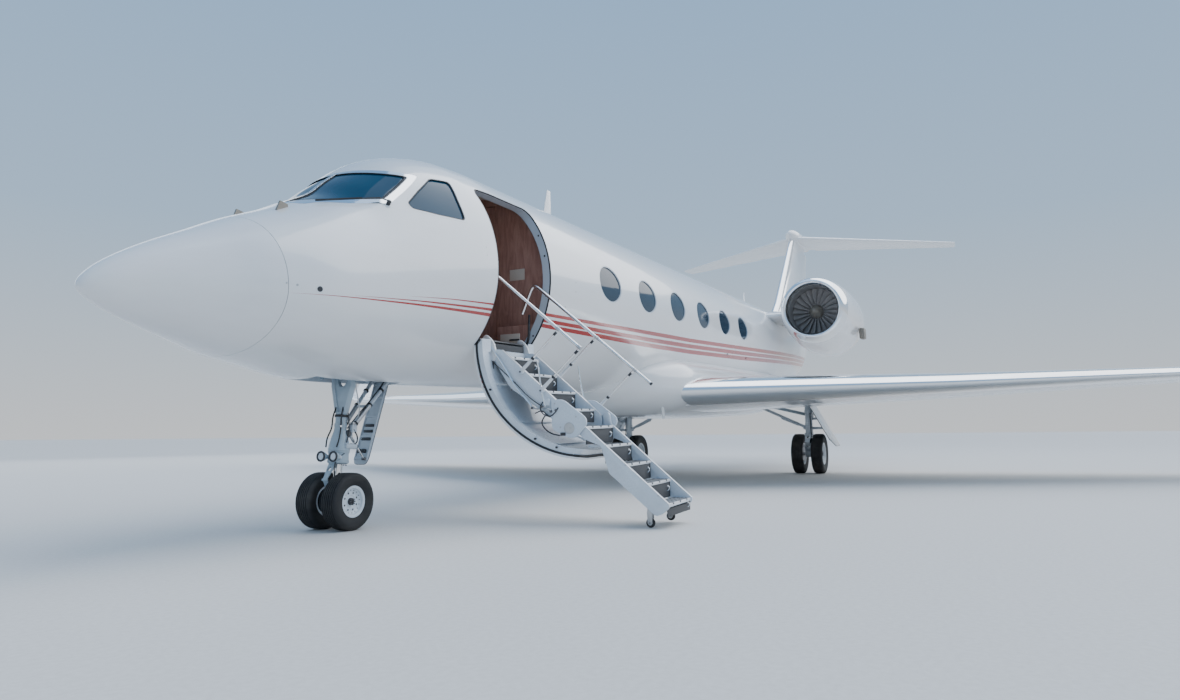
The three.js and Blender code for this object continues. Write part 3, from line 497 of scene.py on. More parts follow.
def stripes_effect(name="Stripes", door_open=False):
    nodes, _, out = effect(name, [("Stripe", FLOAT)])
    axes = level_axes(nodes, door_open)
    station = nodes.math("MULTIPLY_ADD", axes[0], -1000, NOSE_AHEAD)
    height = nodes.math("MULTIPLY", axes[2], 1000)
    share = nodes.math("DIVIDE", station, CURVE_LENGTH)
    total = None
    for points in STRIPES:
        middle = float_curve(nodes, share, points, 2000, 3000)
        start = points[0][0]
        from_start = nodes.math("SUBTRACT", share, start / CURVE_LENGTH)
        half = float_curve(nodes, from_start, STRIPE_HALF, 0, 100)
        away = nodes.math("ABSOLUTE", nodes.math("SUBTRACT", height, middle))
        inside = nodes.math("LESS_THAN", away, half)
        inside = nodes.math("MULTIPLY", inside, nodes.math("GREATER_THAN", station, start))
        total = inside if total is None else nodes.math("MAXIMUM", total, inside)
    nodes.set(out, 0, total)
    return nodes.tree


def grime_effect():
    """Uneven dirt, an uneven gloss, and the small waves of a painted metal skin."""
    nodes, given, out = effect("Grime", [("Dirt", FLOAT), ("Gloss", FLOAT), ("Height", FLOAT)],
                               [("Amount", FLOAT, 0.3)])
    where = nodes.add("ShaderNodeTexCoord").outputs["Object"]
    stretched = nodes.add("ShaderNodeMapping", Vector=where)
    stretched.inputs["Scale"].default_value = (0.35, 1.4, 2.2)
    cloudy = nodes.add("ShaderNodeTexNoise", Vector=stretched.outputs[0], Scale=1.6, Detail=7.0,
                       Roughness=0.62)
    fine = nodes.add("ShaderNodeTexNoise", Vector=where, Scale=55.0, Detail=3.0, Roughness=0.6)
    waves = nodes.add("ShaderNodeTexNoise", Vector=where, Scale=1.1, Detail=1.0)
    patches = nodes.ramp(cloudy.outputs[0], (0.45, 0.0), (0.8, 1.0))
    nodes.set(out, 0, nodes.math("MULTIPLY", patches, given[0]))
    nodes.set(out, 1, nodes.math("ADD", nodes.math("MULTIPLY", cloudy.outputs[0], 0.6),
                                 nodes.math("MULTIPLY", fine.outputs[0], 0.4)))
    nodes.set(out, 2, waves.outputs[0])
    return nodes.tree


GRIME = grime_effect()
STRIPE_MASK = stripes_effect()
DOOR_STRIPE_MASK = stripes_effect("Stripes on the open door", door_open=True)


def finish(name, **settings):
    """A new material and its shader, with plain values set on the shader's own sockets."""
    material = bpy.data.materials.new(name)
    material.use_nodes = True
    nodes = Nodes(material.node_tree)
    shader = material.node_tree.nodes["Principled BSDF"]
    for key, value in settings.items():
        nodes.set(shader, key.replace("_", " "), value)
    return material, nodes, shader


def group_node(nodes, tree, **inputs):
    return nodes.add("ShaderNodeGroup", {"node_tree": tree}, **inputs).outputs


def worn(nodes, shader, colour, dark, rough, spread, dirt=0.25, bump=0.0):
    """Colour and roughness varied by the shared grime."""
    grime = group_node(nodes, GRIME, Amount=dirt)
    tone = nodes.mix(grime[0], colour, dark)
    nodes.set(shader, "Base Color", tone)
    nodes.set(shader, "Roughness", nodes.math("MULTIPLY_ADD", grime[1], spread, rough - spread / 2))
    if bump:
        relief = nodes.add("ShaderNodeBump", Height=grime[2], Distance=bump, Strength=0.3)
        nodes.set(shader, "Normal", relief.outputs[0])
    return tone


WHITE = (0.83, 0.835, 0.84)
DUST = (0.42, 0.38, 0.34)
STRIPE_RED = (0.42, 0.028, 0.022)


def white_paint(name, stripes=None):
    material, nodes, shader = finish(name, Coat_Weight=0.6, Coat_Roughness=0.04, IOR=1.5)
    tone = worn(nodes, shader, WHITE, DUST, 0.2, 0.12, dirt=0.1, bump=0.002)
    if stripes:
        mask = group_node(nodes, stripes)[0]
        nodes.set(shader, "Base Color", nodes.mix(mask, tone, STRIPE_RED))
    return material


def plain_finish(name, colour, dark, rough, metal=0.0, dirt=0.3, spread=0.15, grain=0.0, size=60.0,
                 coat=0.0):
    """A painted, moulded or bare metal finish, with its own fine grain where asked."""
    material, nodes, shader = finish(name, Metallic=metal, Coat_Weight=coat)
    worn(nodes, shader, colour, dark, rough, spread, dirt)
    if grain:
        where = nodes.add("ShaderNodeTexCoord").outputs["Object"]
        speckle = nodes.add("ShaderNodeTexNoise", Vector=where, Scale=size, Detail=4.0)
        relief = nodes.add("ShaderNodeBump", Height=speckle.outputs[0], Distance=grain, Strength=0.5)
        nodes.set(shader, "Normal", relief.outputs[0])
    return material


def veneer_finish():
    """Polished red-brown wood: long wavy grain under a clear coat."""
    material, nodes, shader = finish("Veneer", Roughness=0.28, Coat_Weight=0.7, Coat_Roughness=0.05)
    where = nodes.add("ShaderNodeTexCoord").outputs["Object"]
    along = nodes.add("ShaderNodeMapping", Vector=where)
    along.inputs["Scale"].default_value = (7.0, 7.0, 1.1)
    swirl = nodes.add("ShaderNodeTexNoise", Vector=along.outputs[0], Scale=2.2, Detail=8.0, Distortion=1.6)
    pores = nodes.add("ShaderNodeTexNoise", Vector=along.outputs[0], Scale=38.0, Detail=3.0)
    grain = nodes.math("MULTIPLY_ADD", pores.outputs[0], 0.25,
                       nodes.math("MULTIPLY", swirl.outputs[0], 0.8))
    nodes.set(shader, "Base Color", nodes.ramp(grain, (0.35, (0.34, 0.17, 0.14)), (0.62, (0.5, 0.28, 0.22)),
                                               (0.8, (0.58, 0.36, 0.29))))
    return material


def glass_finish(name, tone, shine=0.1):
    material, nodes, shader = finish(name, Roughness=0.05, IOR=1.4, Coat_Weight=shine, Coat_Roughness=0.02,
                                     Specular_IOR_Level=0.3)
    grime = group_node(nodes, GRIME, Amount=0.12)
    nodes.set(shader, "Base Color", nodes.mix(grime[0], tone, (0.1, 0.11, 0.12)))
    return material


HULL_PAINT = white_paint("Hull paint", STRIPE_MASK)
DOOR_PAINT = white_paint("Door paint", DOOR_STRIPE_MASK)
PAINT = white_paint("White paint")
POLISHED = plain_finish("Polished metal", (0.86, 0.88, 0.9), (0.6, 0.6, 0.6), 0.09, metal=1.0, dirt=0.1,
                        spread=0.08)
CHROME = plain_finish("Chrome", (0.9, 0.9, 0.9), (0.55, 0.55, 0.55), 0.06, metal=1.0, dirt=0.15,
                      spread=0.06)
BARE = plain_finish("Bare metal", (0.55, 0.56, 0.57), (0.28, 0.27, 0.26), 0.34, metal=1.0, dirt=0.4,
                    grain=0.0005)
# Stair paint: a light grey whose blue tint is painted skylight.
STAIR_PAINT_AND_SKYLIGHT = plain_finish("Stair paint with painted skylight", (0.7, 0.76, 0.82), (0.34, 0.33, 0.32), 0.28, dirt=0.3, coat=0.4)
GREY_PAINT = plain_finish("Gear grey paint", (0.38, 0.47, 0.54), (0.1, 0.09, 0.08), 0.34, dirt=0.45,
                          coat=0.2)
LIGHT_GREY = plain_finish("Light grey paint", (0.56, 0.62, 0.68), (0.3, 0.29, 0.28), 0.3, dirt=0.25,
                          coat=0.3)
DARK = plain_finish("Dark fittings", (0.035, 0.036, 0.04), (0.1, 0.09, 0.08), 0.45, dirt=0.4)
STEEL = plain_finish("Dark steel", (0.16, 0.16, 0.165), (0.06, 0.055, 0.05), 0.36, metal=0.9, dirt=0.4)
RUBBER = plain_finish("Tyre rubber", (0.018, 0.018, 0.019), (0.11, 0.1, 0.09), 0.72, dirt=0.55, grain=0.001,
                      size=90)
SEAL = plain_finish("Black rubber seal", (0.02, 0.02, 0.022), (0.09, 0.08, 0.08), 0.55, dirt=0.3)
TREAD = plain_finish("Charcoal tread", (0.06, 0.062, 0.066), (0.15, 0.14, 0.13), 0.75, dirt=0.5,
                     grain=0.002, size=220)
HEADLINER = plain_finish("Cream headliner", (0.66, 0.58, 0.49), (0.4, 0.34, 0.28), 0.7, dirt=0.3,
                         grain=0.001, size=300)
CARPET = plain_finish("Carpet", (0.2, 0.17, 0.15), (0.1, 0.09, 0.08), 0.95, dirt=0.5, grain=0.006, size=240)
FAN_METAL = plain_finish("Fan blade metal", (0.39, 0.37, 0.36), (0.14, 0.12, 0.1), 0.38, metal=0.15,
                         dirt=0.3)
SPINNER = plain_finish("Spinner paint", (0.25, 0.22, 0.18), (0.1, 0.09, 0.07), 0.45, dirt=0.5)
DUCT = plain_finish("Intake duct lining", (0.26, 0.25, 0.24), (0.1, 0.09, 0.08), 0.4, dirt=0.4)
VENEER = veneer_finish()
GLASS = glass_finish("Window glass", (0.018, 0.04, 0.066))
# The cockpit glass is dark, with a blue base colour that is a painted reflection of the sky.
SCREEN_GLASS_WITH_PAINTED_SKY = glass_finish("Cockpit glass with painted sky", (0.005, 0.05, 0.095), 0.0)
LENS = glass_finish("Lamp lens", (0.72, 0.78, 0.84), 1.0)

# Camera, light and floor

CAMERA_AT = (16.544, 5.417, 0.858)
CAMERA_TURNS = (-153.468, 6.133, -0.45)
CAMERA_LENS = 23.905
SENSOR_WIDTH = 36
FLOOR_SIZE = 1200


def aim_camera():
    """Sets the camera from its place and its turns: yaw, pitch and roll in degrees."""
    yaw, pitch, roll = (math.radians(angle) for angle in CAMERA_TURNS)
    forward = Vector((math.cos(pitch) * math.cos(yaw), math.cos(pitch) * math.sin(yaw), math.sin(pitch)))
    right = forward.cross(Vector((0, 0, 1))).normalized()
    up = right.cross(forward)
    across = math.cos(roll) * right + math.sin(roll) * up
    above = -math.sin(roll) * right + math.cos(roll) * up
    deselect()
    bpy.ops.object.camera_add(location=CAMERA_AT)
    camera = bpy.context.object
    turned = Matrix((across, above, -forward)).transposed().to_4x4()
    camera.matrix_world = Matrix.Translation(CAMERA_AT) @ turned
    camera.data.lens = CAMERA_LENS
    camera.data.sensor_width = SENSOR_WIDTH
    camera.data.clip_end = 500
    bpy.context.scene.camera = camera


def light(name, at, to, size, power, tint=(1, 1, 1)):
    """A wide soft light: a panel of the given size, or one far away, as wide as an angle in degrees."""
    deselect()
    bpy.ops.object.light_add(type="AREA" if isinstance(size, tuple) else "SUN", location=at)
    lamp = bpy.context.object
    lamp.name = name
    if isinstance(size, tuple):
        lamp.data.shape = "RECTANGLE"
        lamp.data.size, lamp.data.size_y = size
    else:
        lamp.data.angle = math.radians(size)
    lamp.data.energy = power
    lamp.data.color = tint
    lamp.rotation_euler = (Vector(to) - Vector(at)).to_track_quat("-Z", "Y").to_euler()


def studio():
    aim_camera()
    light("Overhead", (-4, 3, 22), (-3, 0, 0), (34, 22), 1200, (0.88, 0.95, 1))
    light("Key", (-26, 22, 40), (0, 0, 2), 72, 2.9, (1, 0.97, 0.93))
    light("Far side", (-4, -26, 12), (0, 0, 2), (30, 12), 1300, (0.93, 0.96, 1))
    world = bpy.data.worlds.new("Studio")
    bpy.context.scene.world = world
    world.use_nodes = True
    nodes = Nodes(world.node_tree)
    ray = nodes.add("ShaderNodeTexCoord").outputs["Generated"]
    height = nodes.add("ShaderNodeSeparateXYZ", Vector=ray).outputs[2]
    sky = nodes.ramp(height, (0.0, (0.76, 0.79, 0.82)), (0.25, (0.45, 0.63, 0.84)),
                     (0.8, (0.24, 0.47, 0.82)))
    nodes.set(world.node_tree.nodes["Background"], "Color", sky)
    deselect()
    bpy.ops.mesh.primitive_plane_add(size=FLOOR_SIZE)
    floor = new_piece("floor")
    material, nodes, shader = finish("Pale floor", Roughness=0.75)
    where = nodes.add("ShaderNodeTexCoord").outputs["Object"]
    speckle = nodes.add("ShaderNodeTexNoise", Vector=where, Scale=30.0, Detail=4.0)
    nodes.set(shader, "Base Color", nodes.ramp(speckle.outputs[0], (0.3, (0.64, 0.62, 0.59)),
                                               (0.7, (0.7, 0.68, 0.65))))
    paint(floor, material)


studio()

# Fuselage

HULL = [  # station, half width, height of the widest place, top, bottom
    (0, 0, 2240, 2240, 2240), (60, 93, 2260, 2349, 2170), (150, 160, 2272, 2428, 2120),
    (300, 246, 2288, 2528, 2055), (500, 360, 2289, 2641, 1992), (800, 538, 2300, 2790, 1908),
    (1120, 750, 2312, 2950, 1822),
    (1500, 915, 2390, 3111, 1751), (1800, 982, 2452, 3262, 1687), (2000, 1018, 2493, 3366, 1660),
    (2200, 1052, 2534, 3534, 1650), (2400, 1084, 2575, 3683, 1645), (2600, 1111, 2617, 3825, 1643),
    (2800, 1135, 2658, 3915, 1643), (3000, 1157, 2699, 3973, 1644), (3300, 1181, 2761, 4026, 1646),
    (3700, 1195, 2844, 4039, 1649), (15200, 1195, 2844, 4039, 1649), (17000, 1140, 2880, 4039, 1700),
    (18800, 985, 2960, 4045, 1860), (20400, 790, 3100, 4055, 2110), (22000, 545, 3350, 4075, 2600),
    (23400, 290, 3700, 4070, 3250), (24450, 90, 3900, 4010, 3790)]
HULL_LINES = columns_of(HULL, math.sqrt)
HULL_SIDES = 112
RADOME_END = 1120
FRONT_END = 5200
CABIN_END = 15000
CABIN_WALL = 60
TAIL_END = 24450


def hull_ring(station, inset=0, sides=HULL_SIDES):
    """The fuselage's section at a station, moved inwards by the inset."""
    half, middle, top, bottom = (line(math.sqrt(station)) for line in HULL_LINES)
    half = max(half - inset, 0)
    ring = []
    for i in range(sides):
        turn = 2 * math.pi * i / sides
        rise = top - middle if math.sin(turn) > 0 else middle - bottom
        ring.append(Vector(place(station, half * math.cos(turn),
                                 middle + max(rise - inset, 0) * math.sin(turn))))
    return ring


def hull_skin(name, start, end, inset=0, step=70, holes=True):
    """A length of the fuselage's outside, with its ends closed where holes is set."""
    if start == 0:
        stations = [s * s for s in steps_between(0, math.sqrt(end), 44)]
    else:
        stations = steps_between(start, end, max(1, round((end - start) / step)))
    return skin(name, [hull_ring(station, inset) for station in stations], holes=holes)


def hull_side(station, z, inset=0):
    """How far out the skin is at a station and height."""
    half, middle, top, bottom = (line(math.sqrt(station)) for line in HULL_LINES)
    rise = top - middle if z > middle else middle - bottom
    share = min(1, abs(z - middle) / max(rise - inset, 1))
    return (half - inset) * math.sqrt(1 - share * share)


WINDSCREEN = [(1690, 3203), (1750, 3222), (1932, 3229), (2204, 3260), (2420, 3429), (2604, 3583),
              (2444, 3605), (2356, 3622), (2322, 3634), (2180, 3610), (1690, 3330)]
SIDE_WINDOW = [(2380, 3253), (2395, 3195), (2636, 3179), (2980, 3186), (2998, 3411), (3060, 3633),
               (2820, 3613), (2572, 3424)]
DOORWAY = {"front": 3365, "back": 4400, "sill": 2033, "head": 3640, "corner": 90}
DOOR_SPAN = (3250, 4520)
WINDOW_SPAN = (5600, 12700)
OUTSIDE = 1400
WINDOWS = {"first": 6010, "pitch": 1261, "count": 6, "z": 2994, "half_long": 330, "half_tall": 240}


def outline_cutter(draw, side, near):
    """A maker of cutters through one side of the fuselage: it draws the outline at a given growth."""
    def maker(grow):
        low, high = sorted((side * (near - grow), side * OUTSIDE))
        return side_plate("cutter", draw(grow), low, high)
    return maker


def screen_outline(grow):
    return rounded(widened(WINDSCREEN, grow), 40)


def side_window_outline(grow):
    return rounded(widened(SIDE_WINDOW, grow), 45)


GLAZING = ([outline_cutter(screen_outline, side, 25) for side in BOTH_SIDES]
           + [outline_cutter(side_window_outline, side, 500) for side in BOTH_SIDES])


def door_outline(grow):
    d = DOORWAY
    corner = max(d["corner"] + grow, 15)
    low, high, front, back = d["sill"] - grow, d["head"] + grow, d["front"] - grow, d["back"] + grow
    outline = [(front, low), (back, low)]
    outline += arc((back - corner, high - corner), corner, 0, 90, 8)
    outline += arc((front + corner, high - corner), corner, 90, 180, 8)
    return outline


def door_cutter(grow):
    return side_plate("cutter", door_outline(grow), 300, OUTSIDE)


def window_maker(index, side):
    """A maker of cutters for one cabin window, counted from the front."""
    def draw(grow):
        centre = (WINDOWS["first"] + index * WINDOWS["pitch"], WINDOWS["z"])
        return arc(centre, WINDOWS["half_long"] + grow, 0, 360, 48, WINDOWS["half_tall"] + grow)[:-1]
    return outline_cutter(draw, side, 700)


def on_skin(face, slack=6):
    """Whether a face lies on the outer skin of the fuselage, give or take the slack."""
    centre = face.center
    station = ahead(centre.x / MM)
    half, middle, top, bottom = (line(math.sqrt(max(station, 0.01))) for line in HULL_LINES)
    rise = top - middle if centre.z / MM > middle else middle - bottom
    y_share = centre.y / MM / half
    z_share = (centre.z / MM - middle) / rise
    return abs(math.hypot(y_share, z_share) - 1) * min(half, rise) < slack


def on_jamb(face):
    """Whether a face is one of the doorway's upright edges."""
    near_door = DOORWAY["front"] - 350 < ahead(face.center.x / MM) < DOORWAY["back"] + 350
    return near_door and face.center.y > 0.5 and abs(face.normal.x) > 0.9


def skin_layer(name, start, end, outer, inner, step=70):
    """A length of the fuselage between two depths, open at its ends."""
    piece = hull_skin(name, start, end, outer, step, holes=False)
    return modify(piece, "SOLIDIFY", thickness=(inner - outer) * MM, offset=-1, use_even_offset=True)


radome = paint(smooth(hull_skin("nose_cone", 0, RADOME_END)), PAINT)
mount(radome, stands_for="radome")

NOSE_WELL = {"front": 1930, "back": 3050, "half": 215, "top": 1915, "sheet": 25}

front = skin_layer("front_fuselage", RADOME_END + 3, FRONT_END, 0, WALL)
combine(front, [door_cutter(0)] + [maker(0) for maker in GLAZING])
combine(front, [block("cutter", (ahead(NOSE_WELL["back"]), -NOSE_WELL["half"], 1400),
                      (ahead(NOSE_WELL["front"]), NOSE_WELL["half"], NOSE_WELL["top"]))])
paint(front, HULL_PAINT, HEADLINER, LIGHT_GREY)
paint_where(front, 1, lambda face: not on_skin(face))
paint_where(front, 2, lambda face: on_skin(face, slack=WALL - 8) and not on_skin(face))
paint_where(front, 2, on_jamb)
mount(smooth(front, 30), stands_for="fuselage_front")


def nose_well_lining():
    """The sheet metal sides and roof of the nose wheel well, with its frames, pipes and valves."""
    start, end, half, top, sheet = NOSE_WELL.values()
    low, high = 1730, top + 9
    walls = [(end + sheet, -half - sheet, low, end, half + sheet, high),
             (start, -half - sheet, low + 10, start - sheet, half + sheet, high),
             (end + 2, -half - sheet, low, start - 2, -half, high),
             (end + 2, half, low, start - 2, half + sheet, high),
             (end + 2, -half - 23, high - 16, start - 2, half + 23, high - 2)]
    parts = [paint(block("lining", (ahead(back), near, foot), (ahead(front), far, head), 3), GREY_PAINT)
             for back, near, foot, front, far, head in walls]
    for station in (2150, 2420, 2700, 2930):
        for side in BOTH_SIDES:
            near, far = sorted((side * (half - 25), side * half))
            parts += painted(GREY_PAINT, block("frame", (ahead(station), near, 1690),
                                               (ahead(station - 22), far, top - 5), 3))
    for y, z, radius in ((186, 1870, 9), (164, 1884, 7), (-186, 1866, 9), (-160, 1882, 6), (60, 1890, 8)):
        run = [(ahead(end - 10), y, z), (ahead(2800), y, z), (ahead(2500), y * 0.94, z - 6),
               (ahead(2200), y, z), (ahead(start + 10), y, z)]
        parts += painted(BARE if radius > 7 else DARK, tube("pipe", run, radius, 12))
    for station, y in ((2980, 120), (2890, -110), (2070, 130)):
        parts += painted(BARE, block("valve", (ahead(station), y - 40, 1830),
                                     (ahead(station - 90), y + 40, 1909), 8))
    return join("nose_well_lining", parts)


mount(smooth(nose_well_lining(), 30))

barrel = skin_layer("cabin_fuselage", FRONT_END, CABIN_END, 0, CABIN_WALL, step=200)
combine(barrel, [window_maker(i, side)(0) for i in range(WINDOWS["count"]) for side in BOTH_SIDES])
paint(barrel, HULL_PAINT, LIGHT_GREY)
paint_where(barrel, 1, lambda face: not on_skin(face))
mount(smooth(barrel, 30), stands_for="cabin_barrel")

tail = hull_skin("tail_fuselage", CABIN_END, TAIL_END, step=180)
mount(paint(smooth(tail), HULL_PAINT), stands_for="tail_section")

# Wings and tail surfaces, straight from one row of their tables to the next

WING = [  # distance out, station of the leading edge, height, chord, thickness, droop of the trailing edge
    (1000, 8380, 1655, 5960, 0.1, 250), (5000, 10780, 1722, 4420, 0.094, 165),
    (11200, 14500, 1900, 1900, 0.085, 40)]
WINGLET = [  # height, distance out, leading edge, chord, lean
    (1900, 11202, 14500, 1900, 0), (1945, 11480, 14720, 1700, 25), (2110, 11680, 15010, 1430, 60),
    (2420, 11760, 15350, 1120, 78), (3080, 11850, 15980, 600, 80)]
# The fin by height, with the same columns but the droop; the tailplane and the pylon as the wing
FIN = [(3990, 19600, 4850, 0.085), (4600, 20440, 4180, 0.09), (7060, 22900, 2590, 0.095)]
TAILPLANE = [(0, 22980, 7100, 2420, 0.1, 0), (4870, 26060, 6967, 900, 0.09, 0)]
PYLON = [(900, 15350, 3590, 3900, 0.085, 0), (2000, 15600, 3610, 3500, 0.075, 0)]
SLAT_SHARE = 0.09
REAR_SHARE = 0.76
HINGE_SHARE = 0.7


def aerofoil(share, thick, upper, camber):
    """The height of a section's upper or lower side at a share of its chord."""
    half = 5 * thick * (0.2969 * math.sqrt(share) - 0.126 * share - 0.3516 * share ** 2
                        + 0.2843 * share ** 3 - 0.1036 * share ** 4)
    return camber * 4 * share * (1 - share) + (half if upper else -half)


def aerofoil_ring(chord, thick, drop, start, end, count=18, even=False):
    """Distances aft and up round a section, upper side first."""
    shares = []
    for i in range(count + 1):
        bent = i / count
        if start == 0:
            bent = bent * bent
        if end == 1:
            bent = 1 - (1 - bent) ** 1.5
        shares.append(start + (end - start) * bent)
    ring = []
    for upper in (True, False):
        side = []
        for share in shares:
            edge = 3 if share > 0.99 else 0
            up = aerofoil(share, thick, upper, 0 if even else 0.01) * chord - drop * share
            side.append((share * chord, up + (edge if upper else -edge)))
        ring += side if upper else side[::-1]
    return ring


def rows_between(table, start, end):
    """The table read at its own rows between two places, and at even steps between them."""
    places = [start] + [row[0] for row in table if start < row[0] < end] + [end]
    rows = []
    for low, high in zip(places, places[1:]):
        for at in steps_between(low, high, 5):
            if rows and at - rows[-1][0] < 1:
                continue
            i = 0
            while i < len(table) - 2 and table[i + 1][0] < at:
                i += 1
            t = (at - table[i][0]) / (table[i + 1][0] - table[i][0])
            rows.append(tuple(a + (b - a) * t for a, b in zip(table[i], table[i + 1])))
    return rows


def flat_piece(name, table, start, end, front, back):
    """Part of a wing or a tailplane between two places and two shares of its chord."""
    rings = []
    for y, lead, z, chord, thick, drop in rows_between(table, start, end):
        section = aerofoil_ring(chord, thick, drop, front, back)
        rings.append([Vector(place(lead + aft, y, z + up)) for aft, up in section])
    return smooth(skin(name, rings, holes=True), 28)


def upright_piece(name, table, start, end, front, back):
    """The same for the fin, whose section is even on both sides."""
    rings = []
    for z, lead, chord, thick in rows_between(table, start, end):
        section = aerofoil_ring(chord, thick, 0, front, back, even=True)
        rings.append([Vector(place(lead + aft, up, z)) for aft, up in section])
    return smooth(skin(name, rings, holes=True), 28)


def winglet_piece(name):
    lines = columns_of([(i, *row) for i, row in enumerate(WINGLET)])
    rings = []
    for at in steps_between(0, len(WINGLET) - 1, 28):
        z, y, lead, chord, lean = (line(at) for line in lines)
        section = aerofoil_ring(chord, 0.085, 40 * (1 - lean / 80), 0, 1, count=20)
        turn = math.radians(lean)
        rings.append([Vector(place(lead + aft, y - up * math.sin(turn), z + up * math.cos(turn)))
                      for aft, up in section])
    return smooth(skin(name, rings, holes=True), 28)


def both_sides(name, piece, node=None, body="airframe", on=ON_AIRFRAME):
    """A finished port piece and its mirror image, each in place of its node."""
    other = mirrored(piece, name + "_starboard")
    piece.name = name + "_port"
    for side, half in (("port", piece), ("starboard", other)):
        rides = body if body == "airframe" else f"{body}_{side}"
        mount(half, rides, f"{node}_{side}" if node else (), on)


box_wing = join("wing", [flat_piece("wing", WING, 1000, 11200, SLAT_SHARE, REAR_SHARE),
                         flat_piece("wing_root", WING, 1000, 2560, REAR_SHARE - 0.005, 1),
                         flat_piece("wing_outer", WING, 10370, 11200, REAR_SHARE - 0.005, 1)])
both_sides("wing_box", paint(box_wing, PAINT), "wing")
slat = flat_piece("wing_edge", WING, 1180, 11200, 0, SLAT_SHARE)
both_sides("wing_edge", paint(slat, POLISHED), "leading_edge")
flap = flat_piece("wing_flap", WING, 2580, 7600, REAR_SHARE + 0.002, 1)
both_sides("wing_flap", paint(flap, PAINT), "flap")
aileron = flat_piece("wing_aileron", WING, 7620, 10350, REAR_SHARE + 0.002, 1)
both_sides("wing_aileron", paint(aileron, PAINT), "aileron")
both_sides("wing_tip", paint(winglet_piece("wing_tip"), PAINT), "winglet")

fin_box = upright_piece("fin_box", FIN, 3990, 7060, 0, HINGE_SHARE)
fin_foot = upright_piece("fin_foot", FIN, 3990, 4349, HINGE_SHARE - 0.005, 1)
fin_edge = upright_piece("fin_edge", [(z, lead - 6, chord, thick * 1.03) for z, lead, chord, thick in FIN],
                         4300, 7060, 0, 0.085)
mount(paint(join("fin_skin", [fin_box, fin_foot]), PAINT), stands_for="fin")
mount(paint(fin_edge, POLISHED))
rudder = upright_piece("rudder_skin", FIN, 4350, 6860, HINGE_SHARE + 0.003, 1)
mount(paint(rudder, PAINT), stands_for="rudder")
stab = flat_piece("stabiliser", TAILPLANE, 0, 4870, 0, HINGE_SHARE)
stab_rear = flat_piece("stabiliser_rear", TAILPLANE, 0, 338, HINGE_SHARE - 0.005, 0.9)
stab = join("stabiliser", [stab, stab_rear])
stab = join("stabiliser", [mirrored(stab, "stabiliser_other"), stab])
mount(paint(stab, PAINT), stands_for="tailplane")
elevator = flat_piece("elevator_skin", TAILPLANE, 340, 4830, HINGE_SHARE + 0.008, 1)
both_sides("elevator_skin", paint(elevator, PAINT), "elevator")

# The bullet where the tailplane crosses the fin: distance aft and radius
BULLET = [(0, 0), (20, 46), (60, 80), (250, 162), (650, 228), (1300, 248), (2000, 228), (2600, 162),
          (3050, 68), (3150, 0)]
bullet_line = line_through([math.sqrt(at) for at, _ in BULLET], [r for _, r in BULLET])
bullet = lathe("bullet", [(s * s, bullet_line(s)) for s in steps_between(0, math.sqrt(3150), 30)],
               (ahead(22620), 0, 7180), AFT, 40)
mount(paint(smooth(bullet), PAINT), stands_for="tail_bullet")

FAIRING = [  # station, half width, height of the widest place, top, bottom
    (7350, 380, 1800, 1960, 1640), (8000, 1040, 1790, 2180, 1400), (8900, 1290, 1780, 2300, 1270),
    (11500, 1330, 1780, 2320, 1215), (14700, 1310, 1800, 2320, 1240), (16300, 1120, 1850, 2260, 1400),
    (17500, 560, 1920, 2120, 1690)]
FAIRING_LINES = columns_of(FAIRING)


def fairing_ring(station, sides=72):
    """A squarish oval section of the fairing under the wing."""
    half, middle, top, bottom = (line(station) for line in FAIRING_LINES)
    ring = []
    for i in range(sides):
        turn = 2 * math.pi * i / sides
        out, up = (math.copysign(abs(v) ** 0.75, v) for v in (math.cos(turn), math.sin(turn)))
        rise = top - middle if up > 0 else middle - bottom
        ring.append(Vector(place(station, half * out, middle + rise * up)))
    return ring


fairing = skin("wing_fairing", [fairing_ring(s) for s in steps_between(7350, 17500, 70)], holes=True)
mount(paint(smooth(fairing), PAINT), stands_for="belly_fairing")

# Engines

ENGINE = {"y": 2090, "z": 3610, "front": 14750}
COWL_OUTSIDE = [(331, 752), (600, 775), (900, 793), (1500, 800), (2300, 785), (3300, 715), (4100, 610),
                (5000, 470)]
COWL_INSIDE = [(5000, 452), (4100, 590), (3300, 640), (1200, 640), (900, 562), (331, 576)]
COWL_BULGE = [  # distance aft of the lip, how much deeper it hangs, radius beyond which it does
    (331, 0, 600), (600, 75, 600), (900, 125, 660), (1500, 165, 700), (2300, 170, 700), (3300, 100, 670),
    (4100, 20, 600), (5000, 0, 460)]
BULGE_LINES = columns_of(COWL_BULGE)
LIP_OUTSIDE = [(0, 622), (8, 640), (30, 664), (70, 688), (120, 710), (220, 736), (330, 752)]
LIP_INSIDE = [(330, 575), (230, 563), (140, 557), (90, 560), (50, 572), (20, 592), (5, 608), (0, 622)]
FAN = {"face": 640, "radius": 551, "hub": 165, "blades": 22}
ENGINE_AT = (ahead(ENGINE["front"]), ENGINE["y"], ENGINE["z"])
VANES = 34


def engine_lathe(name, profile, sides=88):
    """A shape turned about the port engine's own axis, its profile counted aft from the lip."""
    return lathe(name, profile, ENGINE_AT, AFT, sides)


def hang_deeper(piece):
    """Lets the cowl hang lower underneath, over the accessories."""
    for vertex in piece.data.vertices:
        aft = max(COWL_BULGE[0][0], min(COWL_BULGE[-1][0], ENGINE_AT[0] - vertex.co.x / MM))
        y = vertex.co.y / MM - ENGINE["y"]
        z = vertex.co.z / MM - ENGINE["z"]
        radius = math.hypot(y, z)
        deeper, bore = (line(aft) for line in BULGE_LINES)
        if z < 0 and radius > bore:
            vertex.co.z -= deeper * (z / radius) ** 2 * MM
    return piece


def sampled(points, count):
    """A smooth run of places through a profile's own points."""
    line = line_through([at for at, _ in points], [radius for _, radius in points])
    return [(at, line(at)) for at in steps_between(points[0][0], points[-1][0], count)]


